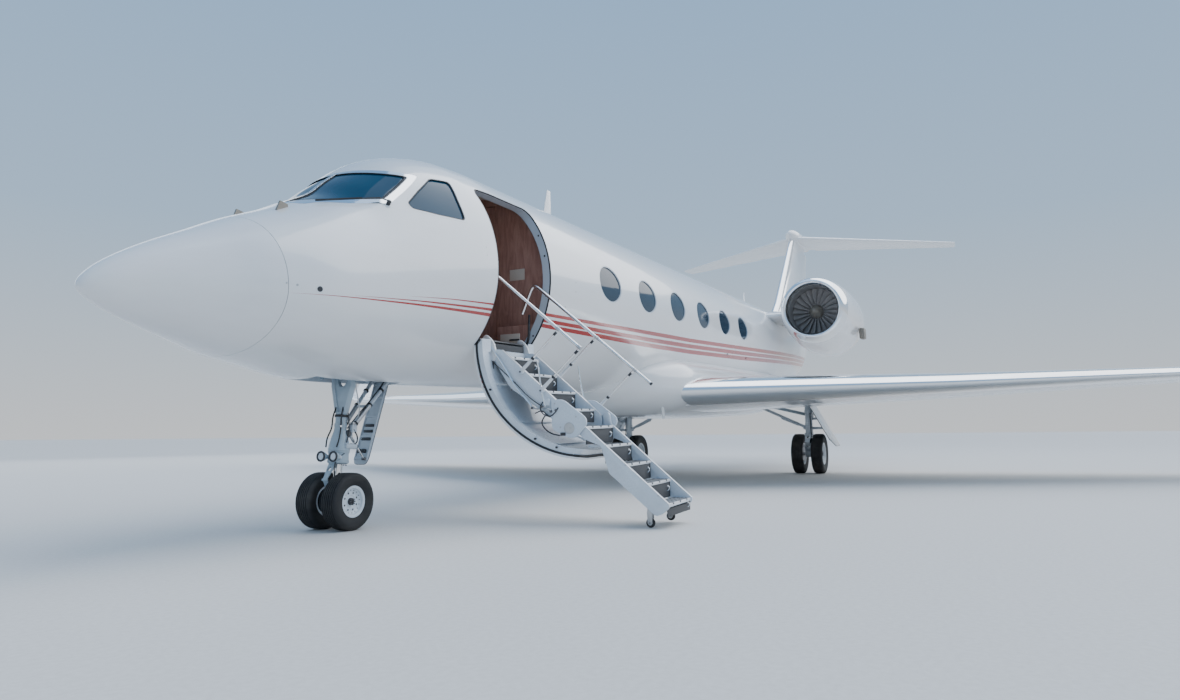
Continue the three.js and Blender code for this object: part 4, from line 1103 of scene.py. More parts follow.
cowl = engine_lathe("cowl", sampled(COWL_OUTSIDE, 40) + COWL_INSIDE + COWL_OUTSIDE[:1])
both_sides("cowl", paint(smooth(hang_deeper(cowl)), PAINT), "engine_cowl")
lip = engine_lathe("lip", LIP_OUTSIDE + LIP_INSIDE)
both_sides("lip", paint(smooth(lip, 60), POLISHED), "intake_lip")


def fan_blades():
    """One twisted blade, copied round the hub, each with its own mesh."""
    rings = []
    for share in steps_between(0, 1, 10):
        radius = FAN["hub"] - 12 + (FAN["radius"] - FAN["hub"] + 10) * share
        stagger = math.radians(26 + 34 * share)
        chord = 130 + 70 * math.sin(math.pi * share * 0.7)
        ring = []
        for along in steps_between(-0.5, 0.5, 8):
            aft = FAN["face"] + 62 + along * chord * math.cos(stagger)
            curl = 10 * (1 - 4 * along * along)
            ring.append(Vector((-aft, along * chord * math.sin(stagger) + curl, radius)) * MM)
        rings.append(ring)
    blade = skin("blade", rings, loop=False)
    modify(blade, "SOLIDIFY", thickness=0.009, offset=0)
    blades = [blade]
    for index in range(1, FAN["blades"]):
        take(blade)
        bpy.ops.object.duplicate()
        copy = bpy.context.object
        copy.data.transform(Matrix.Rotation(2 * math.pi * index / FAN["blades"], 4, "X"))
        blades.append(copy)
    piece = join("blades", blades)
    piece.data.transform(Matrix.Translation(Vector(ENGINE_AT) * MM))
    return smooth(piece, 50)


both_sides("fan_blades", paint(fan_blades(), FAN_METAL), "fan", "fan")
spinner = engine_lathe("spinner", [(318, 0), (322, 16), (340, 38), (400, 78), (480, 112), (560, 138),
                                   (640, 160), (780, 164), (780, 0)], 48)
both_sides("spinner", paint(smooth(spinner, 40), SPINNER), body="fan")
core = engine_lathe("core", [(905, 0), (905, 290), (930, 310), (1150, 425), (2400, 432), (3200, 400),
                             (3900, 330), (4300, 160), (4420, 40), (4420, 0)], 48)
guide_vanes = []
for index in range(VANES):
    vane = block("vane", (-1500, -7, 296), (-1330, 7, 637))
    vane.data.transform(Matrix.Translation(Vector(ENGINE_AT) * MM)
                        @ Matrix.Rotation(2 * math.pi * index / VANES, 4, "X"))
    guide_vanes.append(vane)
core = join("core", [core] + guide_vanes)
both_sides("engine_inside", paint(smooth(core, 30), STEEL), "engine_core")
duct = engine_lathe("duct", [(335, 573.5), (600, 562), (905, 561), (905, 558), (600, 559), (335, 570.5),
                             (335, 573.5)])
both_sides("intake_duct", paint(smooth(duct, 30), DUCT))
nozzle = engine_lathe("nozzle", [(4985, 466), (5018, 455), (5018, 448), (4800, 478), (4300, 560),
                                 (4300, 566), (4985, 466)])
both_sides("nozzle", paint(smooth(nozzle, 30), STEEL))
both_sides("pylon_skin", paint(flat_piece("pylon_skin", PYLON, 900, 2000, 0, 1), PAINT), "pylon")

# Cabin inside, as far as it shows through the doorway and the glass

def section_plate(name, front, back):
    """A bulkhead that fills the fuselage between two stations."""
    ring = hull_ring((front + back) / 2, LINING, 64)
    outline = [(point.y / MM, point.z / MM) for point in ring]
    return plate(name, outline, ahead(back), ahead(front), "X")


def passage(wall, station, half, head):
    """Cuts a bulkhead off at the floor and cuts a way through it."""
    below = block("cutter", (0, -1500, 0), (NOSE_AHEAD, 1500, FLOOR_TOP))
    way = block("cutter", (ahead(station + 150), -half, 1900), (ahead(station - 150), half, head))
    return combine(wall, [below, way])


def inside_hull(piece, start, end):
    """What lies of a piece inside the lining of the fuselage."""
    return combine(piece, [hull_skin("cutter", start, end, LINING, step=200)], "INTERSECT")


def floor_plate(name, start, end, count, shares):
    """A floor as wide as the lining lets it be."""
    rows = []
    for station in steps_between(start, end, count):
        reach = hull_side(station, FLOOR_TOP - 30, LINING)
        rows.append([Vector(place(station, share * reach, FLOOR_TOP - 30)) for share in shares])
    return modify(skin(name, rows, loop=False), "SOLIDIFY", thickness=0.058, offset=0)


cabin_floor = paint(floor_plate("floor", 2950, 14980, 40, (-1, -0.5, 0, 0.5, 1)), CARPET)
cockpit_wall = passage(section_plate("cockpit_wall", 3190, 3240), 3215, 330, 3720)
entry_wall = passage(section_plate("entry_wall", 4560, 4610), 4585, 360, 3800)
aft_wall = section_plate("aft_wall", 14850, 14900)
sliding_door = block("sliding_door", (ahead(4596), -357, FLOOR_TOP + 3), (ahead(4574), 357, 3797), 3)
galley = inside_hull(block("galley", (ahead(4540), -1200, FLOOR_TOP), (ahead(3300), -520, 3500)), 3250,
                     4600)
for wall in (cockpit_wall, entry_wall, aft_wall, galley):
    paint(bevel(wall, 6, 2, 50), VENEER)
paint(sliding_door, VENEER)
door_pull = paint(block("door_pull", (ahead(4578), 250, 2900), (ahead(4570), 290, 3060), 4), BARE)

# A locker on the entry wall beside the doorway, with a drawer, a blank plate and a grab handle
locker = inside_hull(block("locker", (ahead(4559), 480, FLOOR_TOP), (ahead(4410), 960, 2330)), 4380, 4600)
drawer = block("drawer", (ahead(4412), 520, 2060), (ahead(4398), 780, 2240), 5)
pull = block("pull", (ahead(4400), 650, 2160), (ahead(4384), 780, 2178), 5)
blank_plate = block("blank_plate", (ahead(4561), 560, 2880), (ahead(4555), 760, 3010), 2)
paint(locker, VENEER)
painted(HEADLINER, drawer, blank_plate)
paint(pull, DARK)
grab = paint(tube("grab", [(ahead(4440), 800, 2020), (ahead(4380), 905, 2160), (ahead(4360), 930, 2330),
                           (ahead(4420), 900, 2440)], 14), DARK)
interior = join("cabin_interior", [cabin_floor, cockpit_wall, entry_wall, aft_wall, galley, locker, drawer,
                                   pull, blank_plate, grab, sliding_door, door_pull])
mount(smooth(interior, 30), stands_for="cabin_floor")

ceiling_rows = [hull_ring(station, LINING + 6, 96) for station in steps_between(3260, 4540, 16)]
overhead = [number for number, point in enumerate(ceiling_rows[0]) if point.z > 3.66]
ceiling = skin("headliner", [sorted((row[number] for number in overhead), key=lambda point: point.y)
                             for row in ceiling_rows], loop=False)
modify(ceiling, "SOLIDIFY", thickness=0.02, offset=-1)
mount(paint(smooth(ceiling), HEADLINER))

# Cockpit

def pilot_seat(y):
    """Cushion, back, headrest, foot and two armrests about a seat's own middle line."""
    shapes = [(2930, 2670, -175, 175, 2330, 2450, 35), (3075, 2925, -185, 185, 2390, 3050, 45),
              (3065, 2950, -115, 115, 3060, 3200, 40), (2900, 2700, -120, 120, FLOOR_TOP, 2340, 10),
              (3000, 2700, 180, 215, 2560, 2620, 14), (3000, 2700, -215, -180, 2560, 2620, 14)]
    return [block("seat", (ahead(back), y + near, low), (ahead(front), y + far, high), edge)
            for back, front, near, far, low, high, edge in shapes]


deck = floor_plate("deck", 2460, 2948, 6, (-1, 0, 1))
panel = block("panel", (ahead(2560), -880, 2400), (ahead(2465), 880, 2930), 20)
panel = inside_hull(panel, 2400, 2620)
hood = side_plate("hood", rounded([(2440, 2925), (2620, 2945), (2640, 2975), (2440, 2965)], 12), -800, 800,
                  8)
hood = inside_hull(hood, 2380, 2700)
screens = [block("screen", (ahead(2566), y - 130, 2640), (ahead(2558), y + 130, 2840), 6)
           for y in (-620, -330, 0, 330, 620)]
pedestal = block("pedestal", (ahead(2930), -150, FLOOR_TOP), (ahead(2500), 150, 2500), 14)
cockpit_parts = [deck, panel, hood, pedestal] + pilot_seat(450) + pilot_seat(-450)
cockpit = join("cockpit", painted(DARK, *cockpit_parts) + painted(GLASS, *screens))
mount(smooth(cockpit, 30), stands_for="cockpit_seats_and_panel")

# Glass and its frames

def skin_patch(name, cutters, start, end, outer, inner, step=45):
    """Part of the fuselage's skin between two depths, inside each cutter's outline."""
    pieces = [combine(skin_layer(name, start, end, outer, inner, step), [cutter], "INTERSECT")
              for cutter in cutters]
    return smooth(join(name, pieces), 30)


def skin_frame(name, makers, narrow, wide, start, end, outer, inner, step=45):
    """A band of the skin between two growths of each outline that the makers draw."""
    pieces = []
    for maker in makers:
        piece = combine(skin_layer(name, start, end, outer, inner, step), [maker(wide)], "INTERSECT")
        pieces.append(combine(piece, [maker(narrow)]))
    return smooth(join(name, pieces), 30)


glass = skin_patch("cockpit_glass", [maker(12) for maker in GLAZING], 1600, 3120, 14, 30)
mount(paint(glass, SCREEN_GLASS_WITH_PAINTED_SKY), stands_for="cockpit_windows")
mount(paint(skin_frame("cockpit_frames", GLAZING, -9, 1, 1600, 3140, 1, 16), SEAL))
mount(paint(skin_frame("cockpit_retainers", GLAZING[2:], 2, 17, 2300, 3140, -1.5, 6), PAINT))
mount(paint(skin_frame("screen_retainers", GLAZING[:2], 2, 44, 1600, 2720, -1.5, 6), POLISHED))

for side, name in zip(BOTH_SIDES, ("port", "starboard")):
    makers = [window_maker(i, side) for i in range(WINDOWS["count"])]
    panes = skin_patch("cabin_glass_" + name, [maker(6) for maker in makers], *WINDOW_SPAN, 16, 24, step=400)
    mount(paint(panes, GLASS), stands_for="cabin_windows_" + name)
    seals = skin_frame("window_seals_" + name, makers, -14, 1, *WINDOW_SPAN, 3, 17, step=400)
    mount(paint(seals, LIGHT_GREY))

# The rubber seal in the skin round the doorway
mount(paint(skin_frame("doorway_seal", [door_cutter], -1, 9, *DOOR_SPAN, -1, 14, step=40), SEAL))

# Landing gear: millimetres on the ground, X measured from each leg's own axle

NOSE_AXLE = (11.010, 0, 0.262)
LEAN = math.radians(-3.77)
ON_NOSE_LEG = (Matrix.Translation(NOSE_AXLE) @ Matrix.Rotation(LEAN, 4, "Y")
               @ Matrix.Translation((0, 0, -NOSE_AXLE[2])))
ON_NOSE = Matrix.Translation((NOSE_AXLE[0], 0, 0))
MAIN_LEG_OUT = 2085


def arm(name, start, end, first, last, across=(0, 1, 0)):
    """A forged arm between two points: first and last are its width across and its depth at each end."""
    run = (Vector(end) - Vector(start)).normalized()
    side = Vector(across).normalized()
    deep = run.cross(side)
    rows = []
    for t in steps_between(0, 1, 5):
        here = Vector(start) * (1 - t) + Vector(end) * t
        wide = (first[0] * (1 - t) + last[0] * t) / 2
        high = (first[1] * (1 - t) + last[1] * t) / 2
        rows.append([(here + side * wide * a + deep * high * b) * MM
                     for a, b in ((-1, -0.6), (-0.8, -1), (0.8, -1), (1, -0.6), (1, 0.6), (0.8, 1),
                                  (-0.8, 1), (-1, 0.6))])
    return skin(name, rows, holes=True)


def bolts(around, axis, ring, count, radius, high, turn=0):
    """Bolt heads in a circle."""
    frame = turn_to(axis)
    heads = []
    for i in range(count):
        angle = 2 * math.pi * (i + turn) / count
        at = frame @ Vector((ring * math.cos(angle), ring * math.sin(angle), 0)) + Vector(around)
        heads.append(rod("bolt", at, at + Vector(axis).normalized() * high, radius, sides=6, round_end=1))
    return heads


def link_pair(start, knee, end, across, knee_wide, thick, eye):
    """A torque link: two arms with a hole through each, hinged at the knee."""
    parts = []
    for a, b in ((start, knee), (end, knee)):
        piece = arm("link", a, b, (across, thick), (knee_wide, thick * 0.85))
        middle = Vector(a) * 0.56 + Vector(b) * 0.44
        run = (Vector(b) - Vector(a)).normalized()
        way = run.cross(Vector((0, 1, 0)))
        hole = rod("hole", middle - way * 80, middle + way * 80, across * 0.24, sides=20)
        parts.append(bevel(combine(piece, [hole]), 2, 2, 40))
        parts.append(rod("hinge", (a[0], -across / 2 - 5 + a[1], a[2]), (a[0], across / 2 + 5 + a[1], a[2]),
                         eye))
    parts.append(rod("knee", (knee[0], knee[1] - knee_wide / 2 - 9, knee[2]),
                     (knee[0], knee[1] + knee_wide / 2 + 9, knee[2]), eye * 0.9))
    return parts


# Wheels: a grooved tyre, a painted rim with dark discs painted as the shade in its holes, and a dark hub

def tyre(radius, width, rim, grooves):
    """The section of a grooved tyre: distances from its middle and radii, from one bead round to it again."""
    half = width / 2
    profile = [(-half * 0.6, rim - 8), (-half * 0.72, rim), (-half * 0.82, rim + 10),
               (-half * 0.93, rim * 0.55 + radius * 0.45), (-half, radius * 0.82),
               (-half * 0.985, radius * 0.88), (-half * 0.9, radius * 0.945),
               (-half * 0.76, radius * 0.983)]
    crown = []
    spread = half * 0.62
    for index in range(grooves):
        middle = -spread + 2 * spread * index / (grooves - 1)
        top = radius * (1 - 0.014 * (abs(middle) / half) ** 2)
        crown += [(middle - 5, top), (middle - 3.4, top - 8), (middle + 3.4, top - 8), (middle + 5, top)]
    profile = profile + crown + [(-along, far) for along, far in reversed(profile)]
    return profile + profile[:1]


def wheel(name, radius, width, rim, at_y, out, grooves, holes):
    """A wheel at a distance out from the middle, its outer face towards out."""
    hole_shade_discs = []
    rubber = lathe(name, [(y * out, r) for y, r in tyre(radius, width, rim, grooves)][::out],
                   (0, at_y, radius), (0, 1, 0), 88)
    paint(rubber, RUBBER)
    half = width / 2
    dish = [(half * 0.3, 0), (half * 0.3, rim * 0.36), (half * 0.36, rim * 0.42), (half * 0.33, rim * 0.66),
            (half * 0.5, rim * 0.82), (half * 0.7, rim * 0.86), (half * 0.74, rim * 0.9),
            (half * 0.78, rim * 1.02), (half * 0.74, rim * 1.045), (half * 0.5, rim * 1.0),
            (-half * 0.5, rim), (-half * 0.74, rim * 1.045), (-half * 0.78, rim * 1.02),
            (-half * 0.7, rim * 0.88), (-half * 0.2, rim * 0.84), (-half * 0.1, rim * 0.5),
            (-half * 0.1, 0)]
    body = lathe(name, [(y * out, r) for y, r in dish][::out], (0, at_y, radius), (0, 1, 0), 72)
    paint(body, STAIR_PAINT_AND_SKYLIGHT)
    face = half * 0.3 * out
    hub = lathe(name, [(0, 0), (0, rim * 0.24), (20, rim * 0.22), (28, rim * 0.18), (30, rim * 0.1),
                       (38, rim * 0.08), (38, 0)], (0, at_y + face, radius), (0, out, 0), 40)
    paint(hub, DARK)
    # The rim's holes are not cut: a dark disc on its face at each hole is painted shade.
    for turn in (2 * math.pi * (i + 0.5) / holes for i in range(holes)):
        x, z = rim * 0.57 * math.cos(turn), rim * 0.57 * math.sin(turn)
        hole = rod("hole", (x, at_y + half * 0.3 * out, radius + z),
                   (x, at_y + half * 0.352 * out, radius + z), rim * 0.07, sides=16)
        hole_shade_discs += painted(DARK, hole)
    heads = bolts((0, at_y + half * 0.34 * out, radius), (0, out, 0), rim * 0.75, holes * 2, 5, half * 0.12,
                  0.25)
    heads += bolts((0, at_y + face + 24 * out, radius), (0, out, 0), rim * 0.2, 8, 4, 14)
    painted(STEEL, *heads)
    valve = rod("valve", (rim * 0.5, at_y + face, radius + rim * 0.44),
                (rim * 0.52, at_y + face + 26 * out, radius + rim * 0.46), 4, sides=8)
    paint(valve, BARE)
    return [rubber, body, hub, valve] + heads + hole_shade_discs


def wheel_pair(name, radius, width, rim, apart, axle, grooves, holes):
    """Two wheels on their axle, with their brakes between them."""
    parts = wheel("wheel", radius, width, rim, apart, 1, grooves, holes)
    parts += wheel("wheel", radius, width, rim, -apart, -1, grooves, holes)
    spindle = rod("spindle", (0, -apart, radius), (0, apart, radius), axle, sides=24)
    parts += painted(CHROME, spindle)
    for side in BOTH_SIDES:
        drum = lathe("drum", [(0, 0), (0, rim * 0.5), (4, rim * 0.72), (width * 0.3, rim * 0.74),
                              (width * 0.3, 0)], (0, side * (apart - width * 0.36), radius), (0, side, 0),
                     36)
        parts += painted(STEEL, drum)
    return smooth(join(name, parts), 30)


mount(wheel_pair("nose_wheel_pair", 262, 184, 140, 158, 25.5, 6, 8), "nose_wheels", "nose_wheels", ON_NOSE)
main_pair = wheel_pair("main_wheel_pair", 415, 235, 225, 204, 44.5, 6, 10)
main_pair.data.transform(Matrix.Translation((0, MAIN_LEG_OUT * MM, 0)))
both_sides("main_wheel_pair", main_pair, "main_wheels", "main_wheels", ON_GROUND)

# Nose leg, the part that steers: chrome piston, axle eye, torque link, collar and the two lamps
piston = paint(rod("piston", (0, 0, 300), (0, 0, 604), 43, sides=32), CHROME)
eye = lathe("eye", [(-52, 27), (-52, 54), (-44, 61), (44, 61), (52, 54), (52, 27)], (0, 0, 262), (0, 1, 0),
            40)
eye = combine(eye, [rod("bore", (0, -70, 262), (0, 70, 262), 27.2, sides=40)])
foot = lathe("foot", [(300, 0), (300, 40), (330, 56), (372, 55), (384, 50), (384, 0)], sides=32)
collar = lathe("collar", [(598, 0), (598, 60), (604, 86), (612, 97), (628, 99), (640, 94), (700, 93),
                          (706, 98), (719, 98), (719, 0)], sides=40)
jack_pad = rod("jack_pad", (0, 0, 196), (0, 0, 240), 24, 34, sides=24)
link = link_pair((52, 0, 625), (148, 0, 452), (40, 0, 306), 96, 42, 24, 13)
steered = [piston] + painted(GREY_PAINT, eye, foot, collar, jack_pad, *link)
steered += painted(STEEL, *bolts((0, 0, 596), (0, 0, -1), 76, 10, 7, 9))
LAMP_Z = 665


def lamp(side):
    """A lamp on its bracket: housing, bowl, bulb, bezel, lens and lead."""
    def turned(name, profile, sides=36):
        return lathe(name, profile, (16, side * 76, LAMP_Z), (1, 0, 0), sides)

    housing = turned("lamp", [(62, 0), (64, 16), (74, 30), (96, 42), (120, 47), (128, 47), (128, 43),
                              (118, 38), (100, 26), (92, 0)])
    bowl = turned("bowl", [(101, 0), (103, 12), (110, 26), (119, 37), (121, 37), (112, 24), (106, 12),
                           (104, 0)])
    bulb = turned("bulb", [(104, 0), (104, 7), (112, 8), (117, 4), (118, 0)], 16)
    bezel = turned("bezel", [(122, 32), (120, 48), (126, 51), (134, 50), (137, 45), (134, 35), (128, 32)])
    lens = turned("lens", [(124, 0), (124, 34), (128, 34), (132, 20), (134, 0)])
    bracket = arm("bracket", (30, side * 60, LAMP_Z - 4), (94, side * 74, LAMP_Z), (46, 40), (40, 34))
    lead = tube("lead", [(66, side * 68, LAMP_Z), (40, side * 84, LAMP_Z + 18),
                         (20, side * 92, LAMP_Z + 34)], 5)
    return [paint(housing, GREY_PAINT), paint(bowl, POLISHED), paint(bulb, HEADLINER),
            paint(close_up(bezel), DARK), paint(lens, LENS), paint(bracket, LIGHT_GREY), paint(lead, DARK)]


steered += lamp(1) + lamp(-1)
steered += painted(LIGHT_GREY, block("saddle", (60, -30, LAMP_Z - 30), (92, 30, LAMP_Z + 22), 8))
steered += painted(DARK, tube("hose", [(66, 40, 640), (104, 62, 560), (84, 60, 450), (46, 44, 372)], 6))
mount(smooth(join("nose_leg_lower", steered), 30), "nose_leg_steered", "nose_leg_steered", ON_NOSE_LEG)

# Nose leg, the fixed part: bell housing, dark ring, forked trunnion with its web, braces, hoses and door
bell = lathe("bell", [(722, 0), (722, 98), (742, 99), (750, 95), (790, 90), (850, 76), (900, 60), (935, 55),
                      (955, 58), (975, 58), (985, 52), (1030, 51), (1036, 56), (1062, 57), (1068, 51),
                      (1084, 50), (1084, 0)], sides=44)
ring = lathe("ring", [(1036, 40), (1036, 59), (1048, 61), (1060, 59), (1060, 40)], sides=44)
web = plate("web", rounded([(-50, 1066), (50, 1066), (70, 1150), (112, 1290), (124, 1420), (124, 1560),
                            (66, 1560), (60, 1512), (-60, 1512), (-66, 1560), (-124, 1560), (-124, 1420),
                            (-112, 1290), (-70, 1150)], 18), -24, 24, "X")
slot = plate("slot", [(0.62 * y, z) for y, z in arc((0, 1400), 92, 0, 360, 36, 74)][:-1], -60, 60, "X")
web = bevel(combine(web, [slot]), 6, 3, 40)
prongs = [arm("prong", (0, side * 34, 1076), (0, side * 100, 1330), (50, 66), (48, 72))
          for side in BOTH_SIDES]
prongs += [arm("prong", (0, side * 100, 1320), (0, side * 104, 1556), (48, 72), (46, 66))
           for side in BOTH_SIDES]
pin = rod("trunnion", (0, -212, 1540), (0, 212, 1540), 36, sides=32, round_end=4)
hubs = [lathe("trunnion_hub", [(-34, 0), (-34, 46), (-28, 50), (28, 50), (34, 46), (34, 0)],
              (0, side * 104, 1540), (0, 1, 0), 32) for side in BOTH_SIDES]
fixed = painted(GREY_PAINT, bell, web, *prongs, *hubs) + [paint(ring, SEAL), paint(pin, STEEL)]
rack = [rod("rack", (20, side * 92, 768), (-118, side * 92, 768), 27, sides=24, round_end=5)
        for side in BOTH_SIDES]
caps = [rod("rack_cap", (-112, side * 92, 768), (-136, side * 92, 768), 21, sides=6, round_end=3)
        for side in BOTH_SIDES]
lugs = [arm("lug", (-30, side * 30, 880), (-92, side * 55, 884), (34, 80), (26, 56)) for side in BOTH_SIDES]
fixed += painted(LIGHT_GREY, *rack, *lugs)
fixed += painted(STEEL, *caps, *bolts((0, 0, 742), (0, 0, 1), 91, 12, 6, 7, 0.5))
fixed += painted(LIGHT_GREY, block("valve_block", (-120, 40, 900), (-56, 98, 968), 7))
fixed += painted(BARE, block("valve_block", (-112, 46, 966), (-70, 84, 996), 5))
for side in BOTH_SIDES:
    fixed += painted(SEAL, tube("hose", [(30, side * 44, 1130), (52, side * 52, 1040), (56, side * 58, 930),
                                         (84, side * 74, 830), (100, side * 66, 752)], 7, 12))
    fixed += painted(DARK, tube("hose", [(-20, side * 52, 1110), (-36, side * 66, 1000),
                                         (-24, side * 84, 880), (10, side * 99, 800)], 6, 12))
    fixed += painted(BARE, rod("clamp", (54, side * 53, 946), (58, side * 63, 950), 11, sides=12))
fixed += painted(DARK, tube("hose", [(-72, 92, 930), (-130, 96, 850), (-96, 104, 790), (-40, 96, 790)], 7,
                            12))
fixed += painted(BARE, tube("hose", [(-100, 60, 990), (-150, 74, 1080), (-120, 84, 1200), (-60, 100, 1330),
                                     (-40, 104, 1450)], 6, 12))
fixed_leg = smooth(join("nose_leg_upper", fixed), 30)
fixed_leg.data.transform(ON_NOSE_LEG)

DOOR_HEAD, DOOR_FOOT = Vector((-593, 0, 1420)), Vector((-303, 0, 590))
door_run = (DOOR_FOOT - DOOR_HEAD).length
door_turn = -math.asin((DOOR_FOOT.x - DOOR_HEAD.x) / door_run)
on_door = Matrix.Translation(DOOR_HEAD * MM) @ Matrix.Rotation(door_turn, 4, "Y")
panel_outline = rounded([(-86, 20), (86, 20), (92, -80), (92, -820), (70, -door_run), (-70, -door_run),
                         (-92, -820), (-92, -80)], 30)
door_parts = [paint(plate("nose_door", panel_outline, -22, -6, "X", 3), LIGHT_GREY),
              paint(plate("nose_door", widened(panel_outline, 3), -15, -10, "X"), SEAL)]
for low in (-830, -610, -400, -200, -60):
    door_parts += painted(LIGHT_GREY, block("rib", (-7, -74, low), (3, 74, low + 22), 3))
for side in BOTH_SIDES:
    door_parts += painted(LIGHT_GREY, block("rib", (-7, side * 76 - 7, -840), (4, side * 76 + 7, -20), 3))
    door_parts += painted(DARK, block("catch", (2, side * 30 - 22, -770), (30, side * 30 + 22, -735), 5))
for low in (-640, -560, -500):
    door_parts += painted(DARK, block("pad", (-7, -48, low), (10, 60, low + 26), 4))
for piece in door_parts:
    piece.data.transform(on_door)
braces = []
for side in BOTH_SIDES:
    low, high = Vector((-84, side * 55, 884)), Vector((-585, side * 108, 1416))
    braces += painted(LIGHT_GREY, rod("brace", low, high, 19, sides=24))
    braces += painted(BARE, rod("brace", low.lerp(high, 0.16), low.lerp(high, 0.52), 24, sides=24,
                                round_end=6))
    for share in (0.16, 0.5, 0.78):
        braces += painted(SEAL, rod("band", low.lerp(high, share), low.lerp(high, share + 0.03), 27,
                                    sides=24))
    braces += painted(STEEL, rod("brace_eye", low - Vector((0, 22, 0)), low + Vector((0, 22, 0)), 32,
                                 sides=24))
braces += painted(LIGHT_GREY, rod("cross", (-330, -82, 1146), (-330, 82, 1146), 14, sides=16))
braces += painted(GREY_PAINT, rod("hinge_tube", (-593, -212, 1420), (-593, 212, 1420), 26, sides=24))
braces += painted(CHROME, rod("door_link", (-96, 74, 860), (-300, 60, 640), 8, sides=14))
braces += painted(BARE, rod("door_link", (-96, 74, 860), (-150, 70, 802), 13, sides=14))
braces += painted(STEEL, rod("link_eye", (-300, 40, 640), (-300, 78, 640), 15, sides=16))
braces += painted(DARK, tube("line", [(-100, 30, 930), (-240, 60, 1090), (-400, 80, 1250), (-560, 90, 1440),
                                      (-600, 90, 1520)], 6, 12))
lower_parts = smooth(join("nose_brace", door_parts + braces), 30)
lower_parts.data.transform(ON_NOSE)
nose_upper = join("nose_leg_upper", [fixed_leg, lower_parts])
mount(nose_upper, "airframe", "nose_leg_fixed", Matrix())

# Main legs: cylinder, chrome piston, torque link behind, side strut, hoses and the door on the leg


def main_leg():
    y, tall = MAIN_LEG_OUT, 1486
    parts = []
    column = lathe("column", [(780, 0), (780, 60), (788, 70), (812, 76), (830, 72), (1000, 72), (1010, 80),
                              (1060, 80), (1070, 73), (1260, 73), (1272, 84), (1330, 86), (1342, 73),
                              (tall, 73), (tall, 0)], (0, y, 0), (0, 0, 1), 36)
    axle_eye = lathe("axle_eye", [(-70, 46), (-70, 68), (-58, 78), (58, 78), (70, 68), (70, 46)],
                     (0, y, 415), (0, 1, 0), 36)
    axle_eye = combine(axle_eye, [rod("bore", (0, y - 90, 415), (0, y + 90, 415), 46, sides=40)])
    heel = lathe("heel", [(470, 0), (470, 58), (505, 66), (545, 62), (556, 54), (556, 0)], (0, y, 0),
                 (0, 0, 1), 32)
    parts += painted(STAIR_PAINT_AND_SKYLIGHT, column, axle_eye, heel)
    parts += painted(CHROME, rod("piston", (0, y, 500), (0, y, 792), 50, sides=32))
    parts += painted(STEEL, lathe("gland", [(764, 0), (764, 62), (770, 68), (788, 70), (788, 0)], (0, y, 0),
                                  (0, 0, 1), 32))
    parts += painted(STAIR_PAINT_AND_SKYLIGHT, *link_pair((66, y, 832), (226, y, 664), (60, y, 488), 150, 90, 34, 17))
    parts += painted(LIGHT_GREY,
                     rod("strut", (0, y - 60, 970), (72, 1120, 1396), 30, sides=24),
                     rod("strut", (10, y - 200, 1032), (40, y - 560, 1186), 38, sides=24, round_end=8),
                     rod("strut_eye", (-30, y - 76, 966), (30, y - 76, 966), 46, sides=24))
    parts += painted(GREY_PAINT, rod("retract", (-60, y - 50, 1240), (-150, 1300, 1420), 34, sides=24))
    for height in (950, 1150):
        parts += painted(LIGHT_GREY, arm("door_arm", (0, y + 50, height),
                                         (0, 2150 + (1440 - height) * 0.5568 - 4, height), (44, 60),
                                         (30, 40), (1, 0, 0)))
    for ahead_by in (1, -1):
        parts += painted(SEAL, tube("brake_hose", [(50 * ahead_by, y + 40, 1300),
                                                   (84 * ahead_by, y + 52, 1120),
                                                   (80 * ahead_by, y + 58, 900),
                                                   (110 * ahead_by, y + 70, 700),
                                                   (70 * ahead_by, y + 64, 520)], 8, 12))
    parts += painted(BARE, block("manifold", (-40, y + 60, 1180), (44, y + 104, 1262), 8))
    return smooth(join("main_leg", parts), 30)


both_sides("main_leg_assembly", main_leg(), "main_leg", on=ON_GROUND)

# Door on each main leg: it leans outwards from the wing down to beside the outer tyre
GEAR_DOOR_TOP, GEAR_DOOR_FOOT = Vector((0, 2150, 1440)), Vector((0, 2640, 560))
gear_door_run = (GEAR_DOOR_FOOT - GEAR_DOOR_TOP).length
gear_outline = rounded([(-395, 0), (-395, -gear_door_run + 4), (100, -gear_door_run + 4),
                        (395, -gear_door_run + 190), (395, 0)], 50)
gear_door = [paint(plate("gear_door", gear_outline, 13, 24, "Y", 3), PAINT),
             paint(plate("gear_door", widened(gear_outline, -6), 2, 13, "Y", 2), LIGHT_GREY),
             paint(plate("gear_door", widened(gear_outline, 2), 10, 16, "Y"), SEAL)]
for low in (-860, -640, -420, -200):
    gear_door += painted(LIGHT_GREY, block("gear_rib", (-360, -8, low), (330, 4, low + 26), 3))
for x in (-180, 160):
    gear_door += painted(LIGHT_GREY, block("gear_rib", (x, -10, -900), (x + 26, 4, -60), 3))
gear_door = smooth(join("main_gear_door_panel", gear_door), 30)
lean_out = math.atan2(GEAR_DOOR_FOOT.y - GEAR_DOOR_TOP.y, GEAR_DOOR_TOP.z - GEAR_DOOR_FOOT.z)
gear_door.data.transform(Matrix.Translation(GEAR_DOOR_TOP * MM) @ Matrix.Rotation(lean_out, 4, "X"))
both_sides("main_gear_door_panel", gear_door, "main_gear_door", on=ON_GROUND)

# Airstair: millimetres in the level airframe, drawn open

STAIR_X = ahead(3900)
OPENED = (Matrix.Translation(HINGE_AT) @ Matrix.Rotation(DOOR_TURN, 4, "X") @ Matrix.Translation(-HINGE_AT))
UPPER_NOSINGS = [(1146, 1914), (1373, 1730), (1590, 1549), (1807, 1368)]
LOWER_NOSINGS = [(2020 + 203 * step, 1195 - 177 * step) for step in range(5)]

